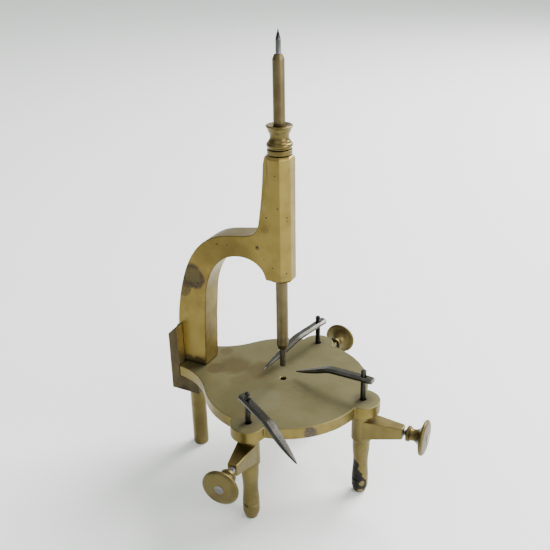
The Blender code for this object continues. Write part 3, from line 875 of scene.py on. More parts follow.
class Finish(Enum):
    """Every finish on the tool."""

    TABLE = AgedBrass(
        "lapped_table_brass", "table_brass", bright=(0.180, 0.136, 0.044), deep=(0.142, 0.106, 0.031),
        tarnish=(0.115, 0.086, 0.029), worn=(0.32, 0.25, 0.10), tarnish_share=0.4, patch=9.0,
        roughness=0.36, rough_spread=0.10, scratch=0.18, worn_amount=0.6,
        top=TopFilm(0.0, (0.128, 0.115, 0.057), (0.108, 0.096, 0.045)),
        stains=(Stain((-12.0, 0.5, 0.0), 10.5, (0.090, 0.071, 0.034), 0.7, 5.0, 0.5, 0.1),
                Stain((-26.0, 1.0, 0.0), 9.5, (0.080, 0.062, 0.028), 0.75, 4.5, 0.5, 0.1),
                Stain((-33.0, -5.5, 0.0), 6.0, (0.078, 0.060, 0.029), 0.75, 2.5, 0.5, 0.1),
                Stain((-36.0, 10.5, 0.0), 4.6, (0.085, 0.065, 0.031), 0.6, 2.0, 0.6, 0.1),
                Stain((-17.5, -9.9, 0.0), 6.0, (0.098, 0.079, 0.038), 0.6, 4.0, 0.5, 0.1),
                Stain((0.0, -19.0, 0.0), 10.0, (0.150, 0.138, 0.083), 0.45, 5.0, 0.4, 0.1),
                Stain((7.7, -4.5, 0.0), 0.5, (0.030, 0.024, 0.014), 0.9, 0.1, 0.4),
                Stain((1.45, -36.9, 0.0), 6.4, (0.070, 0.056, 0.042), 0.75, 1.2, 0.8, 0.1),
                Stain((39.35, 0.0, 0.0), 7.0, (0.066, 0.054, 0.038), 0.75, 1.2, 0.8, 0.1),
                Stain((1.45, 36.9, 0.0), 6.0, (0.076, 0.061, 0.045), 0.6, 1.2, 0.8, 0.1),
                # Painted shade: near black down the centre bore's walls and over its rim.
                Stain((0.0, 0.0, -1.75), 1.85, (0.006, 0.005, 0.003), 1.0, 0.02, 0.15),
                Stain((27.0, -29.0, -3.4), 3.6, (0.060, 0.048, 0.052), 0.9, 2.2, 0.3),
                Stain((17.8, -35.5, -5.6), 2.6, (0.14, 0.07, 0.02), 0.4, 1.6, 0.5)))
    ARM = AgedBrass(
        "cast_arm_brass", "arm_brass", bright=(0.205, 0.151, 0.044), deep=(0.160, 0.113, 0.031),
        tarnish=(0.130, 0.094, 0.032), worn=(0.33, 0.26, 0.10), tarnish_share=0.42, patch=11.0,
        roughness=0.33, grain=(1.0, 1.0, 0.25), scratch=0.16, grime_and_shade_share=0.5,
        stains=(Stain((-43.0, -5.8, 46.5), 7.8, (0.040, 0.030, 0.026), 0.9, 3.4, 0.25),
                Stain((-42.4, -5.8, 47.2), 5.0, (0.105, 0.080, 0.036), 0.75, 2.6, 0.4),
                Stain((-48.5, -5.8, 39.5), 5.0, (0.065, 0.045, 0.026), 0.8, 2.4, 0.4),
                Stain((-49.5, -5.8, 47.0), 4.0, (0.045, 0.032, 0.024), 0.85, 2.0, 0.4),
                # These two darken a band along the column's foot, just above the table.
                Stain((-48.0, -6.0, 0.6), 4.2, (0.050, 0.036, 0.024), 0.85, 1.0, 0.4),
                Stain((-42.0, -6.0, 0.8), 4.2, (0.050, 0.036, 0.024), 0.85, 1.0, 0.4),
                Stain((-30.0, -6.2, 62.0), 13.0, (0.120, 0.086, 0.024), 0.6, 5.0, 0.7, 0.2),
                Stain((-19.0, -6.2, 61.0), 12.0, (0.112, 0.079, 0.024), 0.65, 4.0, 0.7, 0.2),
                Stain((-8.6, -5.8, 66.6), 1.5, (0.070, 0.050, 0.018), 0.6, 0.6, 0.6),
                Stain((-4.6, -5.8, 75.6), 2.2, (0.110, 0.080, 0.030), 0.5, 1.4, 0.5)))
    # The heel's brass is given dark colours as painted shade, for the shadow its front face is seen in.
    HEEL = AgedBrass(
        "heel_brass_painted_shade", "dark_brass", bright=(0.078, 0.060, 0.029), deep=(0.056, 0.041, 0.022),
        tarnish=(0.048, 0.034, 0.020), worn=(0.18, 0.145, 0.065), tarnish_share=0.55, patch=10.0,
        roughness=0.42, worn_amount=0.5, grime_and_shade_share=0.1,
        # Painted shadow on the jaw just above the leg's top.
        stains=(Stain((-48.0, -9.0, -13.7), 4.5, (0.030, 0.020, 0.016), 0.7, 1.0, 0.5),))
    # Painted light: a much lighter brass for the wall's inner face, which would otherwise look dark.
    WALL = AgedBrass(
        "wall_brass_painted_light", "dark_brass", bright=(0.60, 0.49, 0.24), deep=(0.52, 0.42, 0.20),
        tarnish=(0.40, 0.32, 0.15), worn=(0.60, 0.50, 0.26), tarnish_share=0.3, patch=8.0,
        roughness=0.30, worn_amount=0.3, grime_and_shade_share=0.0)
    LEGS = AgedBrass(
        "leg_brass", "leg_brass", bright=(0.155, 0.120, 0.044), deep=(0.120, 0.091, 0.033),
        tarnish=(0.100, 0.077, 0.030), worn=(0.30, 0.24, 0.10), tarnish_share=0.4, patch=9.0, roughness=0.36,
        # The first three paint shade, near black, down the right leg's side turned from the light.
        stains=(Stain((36.6, -3.2, -40.5), 5.2, (0.022, 0.021, 0.020), 0.97, 2.2, 0.12, 0.05),
                Stain((37.8, -4.2, -45.6), 6.2, (0.022, 0.020, 0.020), 0.97, 1.6, 0.1, 0.05),
                Stain((36.2, -2.6, -35.2), 3.9, (0.018, 0.017, 0.016), 0.95, 1.8, 0.15, 0.1),
                Stain((41.8, -3.4, -44.7), 1.6, (0.230, 0.180, 0.080), 0.8, 0.9, 0.3),
                Stain((41.0, -3.6, -50.0), 2.2, (0.260, 0.210, 0.110), 0.8, 0.8, 0.3),
                Stain((0.8, -40.6, -43.1), 1.5, (0.040, 0.030, 0.012), 0.75, 0.6, 0.5)))
    KNOBS = AgedBrass(
        "knob_brass", "knob_brass", bright=(0.108, 0.085, 0.033), deep=(0.083, 0.063, 0.024),
        tarnish=(0.075, 0.057, 0.024), worn=(0.34, 0.28, 0.14), tarnish_share=0.35, patch=7.0,
        roughness=0.34, worn_amount=0.55)
    TURNED = AgedBrass(
        "turned_collar_brass", "turned_brass", bright=(0.126, 0.095, 0.034), deep=(0.094, 0.070, 0.023),
        tarnish=(0.064, 0.046, 0.019), worn=(0.38, 0.31, 0.14), tarnish_share=0.35, patch=4.5,
        roughness=0.24, rough_spread=0.12, grain=(1.0, 1.0, 6.0), scratch=0.10, worn_amount=0.45,
        stains=(Stain((3.3, -2.6, 112.6), 0.42, (0.014, 0.010, 0.006), 0.95, 0.1, 0.4),
                Stain((2.0, -4.4, 113.6), 0.7, (0.045, 0.032, 0.014), 0.7, 0.4, 0.5)))
    ROD = AgedBrass(
        "drawn_rod_brass", "rod_brass", bright=(0.112, 0.086, 0.043), deep=(0.088, 0.066, 0.031),
        tarnish=(0.070, 0.052, 0.024), worn=(0.30, 0.24, 0.12), tarnish_share=0.4, patch=8.0,
        roughness=0.30, grain=(1.0, 1.0, 0.12), scratch=0.12, worn_amount=0.4)
    NIB = DarkSteel(
        "nib_steel", "steel", dark=(0.076, 0.068, 0.046), light=(0.115, 0.107, 0.080), worn=(0.3, 0.28, 0.22),
        roughness=0.34, worn_amount=0.4)
    STEEL = DarkSteel(
        "dark_tool_steel", "steel", dark=(0.062, 0.058, 0.050), light=(0.086, 0.082, 0.071),
        worn=(0.34, 0.33, 0.31), roughness=0.26, worn_amount=0.6, rust_share=0.1)
    POST = DarkSteel(
        "post_steel", "steel", dark=(0.018, 0.017, 0.015), light=(0.048, 0.045, 0.037),
        worn=(0.16, 0.16, 0.15), roughness=0.34, worn_amount=0.4, rust_share=0.4)
    SCREWS = DarkSteel(
        "screw_steel", "steel", dark=(0.09, 0.086, 0.088), light=(0.21, 0.20, 0.20),
        worn=(0.42, 0.41, 0.41), roughness=0.26, rust_share=0.2)
    POINT = DarkSteel(
        "point_steel", "steel", dark=(0.070, 0.070, 0.070), light=(0.15, 0.15, 0.15), worn=(0.25, 0.25, 0.25),
        roughness=0.22, grain=(1.0, 1.0, 0.1), worn_amount=0.3, rust_share=0.1,
        bands=(Stain((0.0, 0.0, 154.6), 3.2, (0.010, 0.010, 0.010), 0.95, 0.3, 0.4),))


class Paint:
    """Builds each finish once and hands it out."""

    def __init__(self, datum: Datum) -> None:
        """Start with no finish built."""
        self.datum = datum
        self.built: dict[Finish, bpy.types.Material] = {}

    def of(self, finish: Finish) -> bpy.types.Material:
        """Material of one finish.

        Args:
            finish: The finish.

        Returns:
            Its material, built at the first call.
        """
        if finish not in self.built:
            self.built[finish] = finish.value.build(self.datum)
        return self.built[finish]

    def grime(self) -> bpy.types.Material:
        """Dried grime on the floor of a casting pit.

        Returns:
            The material.
        """
        tree = ShaderTree("pit_grime")
        tree.set("Base Color", tree.mix(tree.noise(0.3), (0.020, 0.013, 0.006), (0.060, 0.040, 0.016)))
        tree.set("Roughness", 0.7)
        return tree.material


# ---------------------------------------------------------------- sub-assemblies


class Side(Enum):
    """The three dog stations, each with its direction from the table's centre."""

    FRONT = -90.0
    RIGHT = 0.0
    BACK = 90.0

    @property
    def label(self) -> str:
        """The word that its nodes and bodies carry."""
        return self.name.lower()


@dataclass
class Table:
    """Round table with three lobes and a flared tongue at the heel."""

    bench: Bench
    paint: Paint
    radius: float = 38.0
    centre_x: float = 1.45
    thickness: float = 5.6
    lobe_radius: float = 7.8
    front_reach: float = 36.9
    right_reach: float = 37.9
    back_reach: float = 36.9
    tongue_end: float = -49.9
    tongue_half: float = 11.1
    fillet: float = 30.0
    hole: float = 2.9
    post_hole: float = 3.0

    def reach(self, side: Side) -> float:
        """Distance of a station's post from the table's centre."""
        return {Side.FRONT: self.front_reach, Side.RIGHT: self.right_reach, Side.BACK: self.back_reach}[side]

    def station(self, side: Side) -> Point:
        """Plan position of a station's post."""
        angle = math.radians(side.value)
        return (self.centre_x + self.reach(side) * math.cos(angle), self.reach(side) * math.sin(angle))

    def outline(self) -> list[Point]:
        """Outline of the table, anticlockwise from the tongue's near corner.

        Returns:
            Its points in plan.
        """
        reach = self.radius + self.fillet
        fillet_y = self.tongue_half + self.fillet
        fillet_x = self.centre_x - math.sqrt(reach ** 2 - fillet_y ** 2)
        blend = math.degrees(math.asin(fillet_y / reach))
        tongue = math.degrees(math.acos((self.tongue_end - fillet_x) / self.fillet))
        points = arc((fillet_x, -fillet_y), self.fillet, tongue, blend)
        last = blend - 180.0
        for side in Side:
            away = self.reach(side)
            squares = self.radius ** 2 + away ** 2 - self.lobe_radius ** 2
            spread = math.degrees(math.acos(squares / (2 * self.radius * away)))
            meeting = self.radius * math.cos(math.radians(spread)) - away
            lobe_turn = math.degrees(math.acos(meeting / self.lobe_radius))
            points += arc((self.centre_x, 0.0), self.radius, last, side.value - spread)[1:]
            points += arc(self.station(side), self.lobe_radius, side.value - lobe_turn,
                          side.value + lobe_turn, 5.0)[1:]
            last = side.value + spread
        points += arc((self.centre_x, 0.0), self.radius, last, 180.0 - blend)[1:]
        points += arc((fillet_x, fillet_y), self.fillet, -blend, -tongue)[1:]
        return points

    def build(self) -> None:
        """Saw the table, soften its edges and bore it."""
        brass = self.paint.of(Finish.TABLE)
        plate = self.bench.blank("table", self.bench.plates.saw(self.outline(), self.thickness, brass))
        self.bench.soften(plate, 0.4)
        below = -self.thickness - 1.0
        edge = 0.25
        hole = self.hole / 2
        profile = [(0.0, 1.0), (hole + edge + 1.0, 1.0), (hole, -edge), (hole, below), (0.0, below)]
        self.bench.drill(plate, profile, brass, HOLE_STEPS)
        for side in Side:
            post = self.post_hole / 2
            profile = [(0.0, 1.0), (post + 1.2, 1.0), (post, -0.2), (post, below), (0.0, below)]
            self.bench.drill(plate, profile, brass, place=Matrix.Translation((*self.station(side), 0.0)))
        self.bench.finish(plate, Finish.TABLE, "base", ["table_plate"])


@dataclass
class Arm:
    """C-shaped arm: column, shoulder, bar and the bored octagonal head."""

    bench: Bench
    paint: Paint
    thickness: float = 11.6
    web: float = 8.4
    head_top: float = 107.0
    head_bottom: float = 51.2
    across_flats: float = 11.7
    column_outer: float = -52.9
    column_inner: float = -38.3
    sleeve_bore: float = 8.6
    sleeve_depth: float = 15.3
    rod_bore: float = 5.95
    pit_seed: int = 7

    def outline(self) -> list[Point]:
        """Side view from the column's foot, over the shoulder to the head and back under the arch.

        Returns:
            Its points, as X and Z.
        """
        half = self.across_flats / 2 * math.tan(math.radians(22.5))
        foot = GAP
        shoulder = (-47.6, 45.4)
        crown = (-31.5, 67.2)
        nape = (-7.9, 77.4)
        low = self.head_bottom + 0.7
        points = [(self.column_inner, foot), (self.column_outer, foot)]
        points += bezier(((-52.3, 20.0), (-51.9, 29.0), (-49.9, 38.0), shoulder))
        points += bezier((shoulder, (-44.2, 55.9), (-39.5, 63.2), crown))
        points += bezier((crown, (-26.5, 69.7), (-20.5, 69.9), (-14.6, 71.0)))
        points += bezier(((-14.6, 71.0), (-10.6, 71.7), (-8.8, 73.6), nape), 14)
        points += bezier((nape, (-6.3, 84.0), (-3.4, 91.0), (-half - 0.2, self.head_top - 3.0)), 14)
        points += [(-half, self.head_top - 1.0), (half, self.head_top - 1.0), (half, low), (-4.9, low)]
        points += bezier(((-5.2, low + 0.7), (-5.8, 57.0), (-10.5, 60.7), (-16.5, 60.7)))
        points += bezier(((-16.5, 60.7), (-26.0, 60.7), (-33.5, 54.0), (-35.9, 40.0)), 24)
        return points + [(-35.9, 40.0), (-37.3, 24.0)]

    def web_outline(self) -> list[Point]:
        """Side view of the narrower web behind the head.

        Returns:
            Its points, as X and Z.
        """
        top = self.head_top - 0.25
        points = [(0.0, 66.0), (-9.4, 66.0), (-9.3, 73.4)]
        points += bezier(((-8.8, 76.5), (-7.4, 85.0), (-6.3, 94.0), (-5.85, top - 1.0)), 14)
        return points + [(-5.1, top), (0.0, top)]

    def head(self, brass: bpy.types.Material) -> bpy.types.Object:
        """Octagonal head with chamfered ends.

        Args:
            brass: Its material.

        Returns:
            The head as a blank.
        """
        corner = self.across_flats / 2 / math.cos(math.radians(22.5))
        profile = [(0.0, self.head_top), (corner - 0.8, self.head_top), (corner, self.head_top - 1.1),
                   (corner, self.head_bottom + 1.1), (corner - 1.1, self.head_bottom),
                   (0.0, self.head_bottom)]
        eighth = Matrix.Rotation(math.radians(22.5), 4, "Z")
        head = self.bench.blank("head", self.bench.lathe.turn(profile, brass, 8), eighth)
        self.bench.soften(head, 0.28, 2, 30.0)
        return head

    def pit_mesh(self) -> bpy.types.Mesh:
        """Places of the casting pits: marked ones in front, and others strewn over the back.

        Returns:
            Points whose attribute size is each pit's radius.
        """
        front = -self.thickness / 2
        pits = [(x, front, z, r) for x, z, r in (
            (-28.5, 65.0, 0.40), (-23.4, 65.4, 0.34), (-8.6, 66.8, 0.62), (-1.4, 58.4, 0.46),
            (-3.9, 80.9, 0.40), (1.4, 85.6, 0.42), (-5.4, 61.6, 0.30), (-22.2, 59.6, 0.28),
            (-36.6, 50.9, 0.34), (0.4, 99.4, 0.34))]
        pits += [(4.7, -3.6, 81.5, 0.38), (4.7, -3.6, 80.0, 0.36), (4.3, -3.9, 56.2, 0.42),
                 (5.8, 0.7, 78.8, 0.34)]
        strewn = random.Random(self.pit_seed)
        areas = ((-50.0, -40.0, 6.0, 34.0, 5), (-32.0, -6.0, 62.5, 67.5, 5), (-1.8, 1.8, 54.0, 103.0, 4))
        for low_x, high_x, low_z, high_z, count in areas:
            for _ in range(count):
                pits.append((strewn.uniform(low_x, high_x), -front, strewn.uniform(low_z, high_z), 0.34))
        points = bpy.data.meshes.new("pit_places")
        points.from_pydata([pit[:3] for pit in pits], [], [])
        sizes = points.attributes.new("size", "FLOAT", "POINT")
        sizes.data.foreach_set("value", [pit[3] for pit in pits])
        return points

    def build(self) -> None:
        """Saw, join, bore and pit the arm."""
        bench = self.bench
        brass = self.paint.of(Finish.ARM)
        side = bench.plates.saw(self.outline(), self.thickness, brass, upright=True)
        arm = bench.blank("arm_casting", side)
        bench.soften(arm, 0.5)
        web = bench.blank("web", bench.plates.saw(self.web_outline(), self.web, brass, upright=True))
        bench.soften(web, 0.5)
        bench.combine(arm, web, "UNION")
        bench.combine(arm, self.head(brass), "UNION")
        seat = self.head_top - self.sleeve_depth
        above = self.head_top + 1.0
        below = self.head_bottom - 1.0
        wide = self.sleeve_bore / 2
        narrow = self.rod_bore / 2
        bore = [(0.0, above), (wide, above), (wide, seat), (narrow, seat), (narrow, self.head_bottom + 0.3),
                (narrow + 1.3, below), (0.0, below)]
        bench.drill(arm, bore, brass, HOLE_STEPS)
        balls = bench.pits.run(self.pit_mesh(), self.paint.grime(), Seed=self.pit_seed, Spread=0.1)
        bench.combine(arm, bench.blank("pits", balls), "DIFFERENCE")
        bench.finish(arm, Finish.ARM, "base", ["arm"])


@dataclass
class Heel:
    """Bracket that grips the column's foot and the table's tongue, with its leg and screws."""

    bench: Bench
    paint: Paint
    outer: float = -55.1
    half_width: float = 11.1
    wall_inner: float = -50.2
    wall_top: float = 20.6
    chamfer: float = 4.2
    jaw_top: float = -5.9
    jaw_bottom: float = -13.7
    jaw_inner: float = -40.0
    groove_back: float = -53.2
    groove_half: float = 6.1
    leg_x: float = -48.0
    leg_radius: float = 3.8
    foot: float = -51.39
    wall_screws: tuple[float, float] = (7.5, 13.8)
    steady_x: float = -42.0
    seat_radius: float = 2.3
    seat_depth: float = 1.7

    def bracket(self) -> None:
        """Wall behind the column, and jaw under the table."""
        bench = self.bench
        brass = self.paint.of(Finish.HEEL)
        outline = [(self.outer, self.jaw_bottom), (self.jaw_inner, self.jaw_bottom),
                   (self.jaw_inner, self.jaw_top), (self.wall_inner, self.jaw_top),
                   (self.wall_inner, self.wall_top), (self.wall_inner - 0.7, self.wall_top),
                   (self.outer, self.wall_top - self.chamfer)]
        heel = bench.blank("heel", bench.plates.saw(outline, 2 * self.half_width, brass, upright=True))
        bench.soften(heel, 0.4)
        groove = [(self.groove_back, -self.groove_half), (-38.0, -self.groove_half),
                  (-38.0, self.groove_half), (self.groove_back, self.groove_half)]
        cutter = bench.plates.saw(groove, 30.0, brass)
        bench.combine(heel, bench.blank("groove", cutter, Matrix.Translation((0.0, 0.0, 30.0))), "DIFFERENCE")
        seat = [(0.0, 2.0), (self.seat_radius, 2.0), (self.seat_radius, -self.seat_depth),
                (0.0, -self.seat_depth)]
        below = Matrix.Translation((self.steady_x, 0.0, self.jaw_bottom))
        bench.drill(heel, seat, brass, place=below @ Matrix.Rotation(math.pi, 4, "X"))
        # The wall's inner face above the table takes the lighter brass as painted light.
        heel.data.materials.append(self.paint.of(Finish.WALL))
        lit_face_index = len(heel.data.materials) - 1
        for face in heel.data.polygons:
            if face.normal.x > 0.9 and face.center.x > self.wall_inner - 0.3 and face.center.z > 0.0:
                face.material_index = lit_face_index
        bench.finish(heel, Finish.HEEL, "base", ["heel_bracket"])

    def leg(self) -> None:
        """Plain round leg under the jaw."""
        top = self.jaw_bottom - GAP
        profile = rounded([(0.0, top), (self.leg_radius, top, 0.3), (self.leg_radius, self.foot, 1.2),
                           (self.leg_radius - 1.2, self.foot), (0.0, self.foot)])
        mesh = self.bench.lathe.turn(profile, self.paint.of(Finish.LEGS))
        leg = self.bench.blank("heel_post", mesh, Matrix.Translation((self.leg_x, 0.0, 0.0)))
        self.bench.finish(leg, Finish.LEGS, "base", ["heel_leg"])

    def screw(self, radius: float, height: float, shank: float) -> bpy.types.Object:
        """Slotted cheese-head screw with its head above Z nought.

        Args:
            radius: Radius of the head.
            height: Height of the head.
            shank: Height of the shank's lower end, below nought.

        Returns:
            The screw as a blank.
        """
        bench = self.bench
        steel = self.paint.of(Finish.SCREWS)
        profile = rounded([(0.0, height), (radius, height, 0.35), (radius, GAP, 0.1), (1.2, GAP, 0.05),
                           (1.2, shank), (0.0, shank)])
        screw = bench.blank("screw", bench.lathe.turn(profile, steel, HOLE_STEPS))
        slot = [(-radius - 1.0, -0.3), (radius + 1.0, -0.3), (radius + 1.0, 0.3), (-radius - 1.0, 0.3)]
        lifted = Matrix.Translation((0.0, 0.0, height + 1.0))
        bench.combine(screw, bench.blank("slot", bench.plates.saw(slot, 1.6, steel), lifted), "DIFFERENCE")
        return screw

    def screws(self) -> None:
        """Row of two in the wall, and the steady screw under the jaw."""
        bench = self.bench
        steel = self.paint.of(Finish.SCREWS)
        low, high = self.wall_screws
        single = self.screw(2.4, 1.6, -1.0)
        outwards = Matrix.Translation((self.outer, 0.0, low)) @ Matrix.Rotation(math.radians(-90.0), 4, "Y")
        single.data.transform(outwards)
        row = bench.rows.run(single.data, steel, Count=2, Spacing=high - low)
        bpy.data.objects.remove(single, do_unlink=True)
        bench.finish(bench.blank("wall_screws", row), Finish.SCREWS, "base",
                     ["wall_screw_lower", "wall_screw_upper"])
        steady = self.screw(2.0, 1.5, -6.0)
        steady.name = "jaw_screw"
        seat = Matrix.Translation((self.steady_x, 0.0, self.jaw_bottom + self.seat_depth - GAP))
        steady.data.transform(seat @ Matrix.Rotation(math.pi, 4, "X"))
        bench.finish(steady, Finish.SCREWS, "base", ["steady_screw"])

    def build(self) -> None:
        """Build the bracket, its leg and its screws."""
        self.bracket()
        self.leg()
        self.screws()


@dataclass
class Spindle:
    """Sliding rod with its steel point and its nib."""

    bench: Bench
    paint: Paint
    radius: float = 2.45
    lower_radius: float = 2.675
    top: float = 146.4
    step: float = 60.0
    bottom: float = 16.3
    point_radius: float = 1.075
    point_top: float = 155.9
    nib_radius: float = 1.4
    nib_bottom: float = 6.9

    def build(self) -> None:
        """Turn the rod, the point and the nib."""
        bench = self.bench
        pin = self.point_radius + GAP
        hole = self.nib_radius + GAP
        profile = rounded([(0.0, self.top - 2.0), (pin, self.top - 2.0), (pin, self.top, 0.12),
                           (self.radius - 0.75, self.top, 0.25), (self.radius, self.top - 1.9, 1.2),
                           (self.radius, self.step + 0.3), (self.lower_radius, self.step),
                           (self.lower_radius, self.bottom + 2.4, 0.8), (hole + 0.4, self.bottom, 0.15),
                           (hole, self.bottom, 0.1), (hole, self.bottom + 2.0), (0.0, self.bottom + 2.0)])
        rod = bench.blank("rod", bench.lathe.turn(profile, self.paint.of(Finish.ROD)))
        bench.finish(rod, Finish.ROD, "spindle", ["spindle_rod"])
        taper = smooth_line([(0.05, self.point_top), (0.30, self.point_top - 1.1),
                             (0.72, self.point_top - 2.6), (self.point_radius, self.point_top - 4.2)])
        profile = [(0.0, self.point_top), *taper, (self.point_radius, self.top - 1.7), (0.0, self.top - 1.7)]
        point = bench.blank("point", bench.lathe.turn(profile, self.paint.of(Finish.POINT), PIN_STEPS))
        bench.finish(point, Finish.POINT, "spindle", ["spindle_point"])
        profile = rounded([(0.0, self.bottom + 1.7), (self.nib_radius, self.bottom + 1.7),
                           (self.nib_radius, self.nib_bottom, 0.7), (0.0, self.nib_bottom)])
        nib = bench.blank("nib", bench.lathe.turn(profile, self.paint.of(Finish.NIB), PIN_STEPS))
        bench.finish(nib, Finish.NIB, "spindle", ["spindle_nib"])


@dataclass
class Collar:
    """Split sleeve in the head, the ring above it and the waisted nut."""

    bench: Bench
    paint: Paint
    head_top: float = 107.0
    bore: float = 2.75
    sleeve_radius: float = 4.0
    thread_radius: float = 3.5
    sleeve_top: float = 112.6
    ring_radius: float = 5.25
    nut_bottom: float = 109.7
    nut_top: float = 119.2
    flare: float = 5.55
    waist: float = 3.95
    bead: float = 5.45
    pitch: float = 0.7

    def sleeve(self) -> None:
        """Threaded sleeve that the nut closes on the rod."""
        bench = self.bench
        brass = self.paint.of(Finish.TURNED)
        shoulder = self.head_top - 0.6
        count = 48
        rise = (self.sleeve_top - 0.3 - shoulder) / count
        threaded = [(self.thread_radius, self.sleeve_top - 0.3 - rise * i) for i in range(count + 1)]
        profile = [(self.bore, self.sleeve_top), (self.thread_radius - 0.3, self.sleeve_top), *threaded,
                   (self.sleeve_radius, shoulder), (self.sleeve_radius, shoulder - 4.0),
                   (self.bore, shoulder - 4.0)]
        mesh = bench.lathe.turn(profile, brass, hollow=True, Pitch=self.pitch, Thread_Depth=0.3,
                                Thread_Low=shoulder + 0.4, Thread_High=self.sleeve_top - 0.35)
        bench.finish(bench.blank("sleeve", mesh), Finish.TURNED, "base", ["collet_sleeve"])

    def ring(self) -> None:
        """Ring between the head and the nut."""
        inner = self.thread_radius + GAP
        low = self.head_top + GAP
        high = self.nut_bottom - GAP
        profile = rounded([(inner, high), (self.ring_radius, high, 0.3), (self.ring_radius, low, 0.35),
                           (inner, low)])
        mesh = self.bench.lathe.turn(profile, self.paint.of(Finish.TURNED), hollow=True)
        self.bench.finish(self.bench.blank("ring", mesh), Finish.TURNED, "collar_ring",
                          ["collar_ring"])

    def nut(self) -> None:
        """Nut with a dished flare on top, a waist, and a bead round its foot."""
        inner = self.thread_radius + GAP
        lip = arc((self.flare - 0.45, self.nut_top - 0.5), 0.45, 60.0, -60.0, 20.0)
        rim = [(self.flare - 0.5, self.nut_top), *lip]
        side = smooth_line([(self.flare - 0.35, self.nut_top - 1.0), (4.72, 116.9), (4.15, 115.7),
                            (self.waist, 114.6), (4.08, 113.6), (4.62, 112.7)])
        foot = arc((self.bead - 1.2, self.nut_bottom + 1.45), 1.2, 64.0, -50.0, 12.0)
        foot += [(4.98, self.nut_bottom + 0.2), (4.85, self.nut_bottom)]
        profile = [(self.bore, self.nut_top - 0.9), (self.bore + 0.5, self.nut_top - 0.75)]
        profile += [*rim, *side, *foot, (inner + 0.2, self.nut_bottom), (inner, self.nut_bottom + 0.2),
                    (inner, self.sleeve_top + GAP), (self.bore, self.sleeve_top + 1.0)]
        mesh = self.bench.lathe.turn(profile, self.paint.of(Finish.TURNED), hollow=True)
        self.bench.finish(self.bench.blank("nut", mesh), Finish.TURNED, "collar_nut", ["collar_nut"])

    def build(self) -> None:
        """Build the sleeve, the ring and the nut."""
        self.sleeve()
        self.ring()
        self.nut()


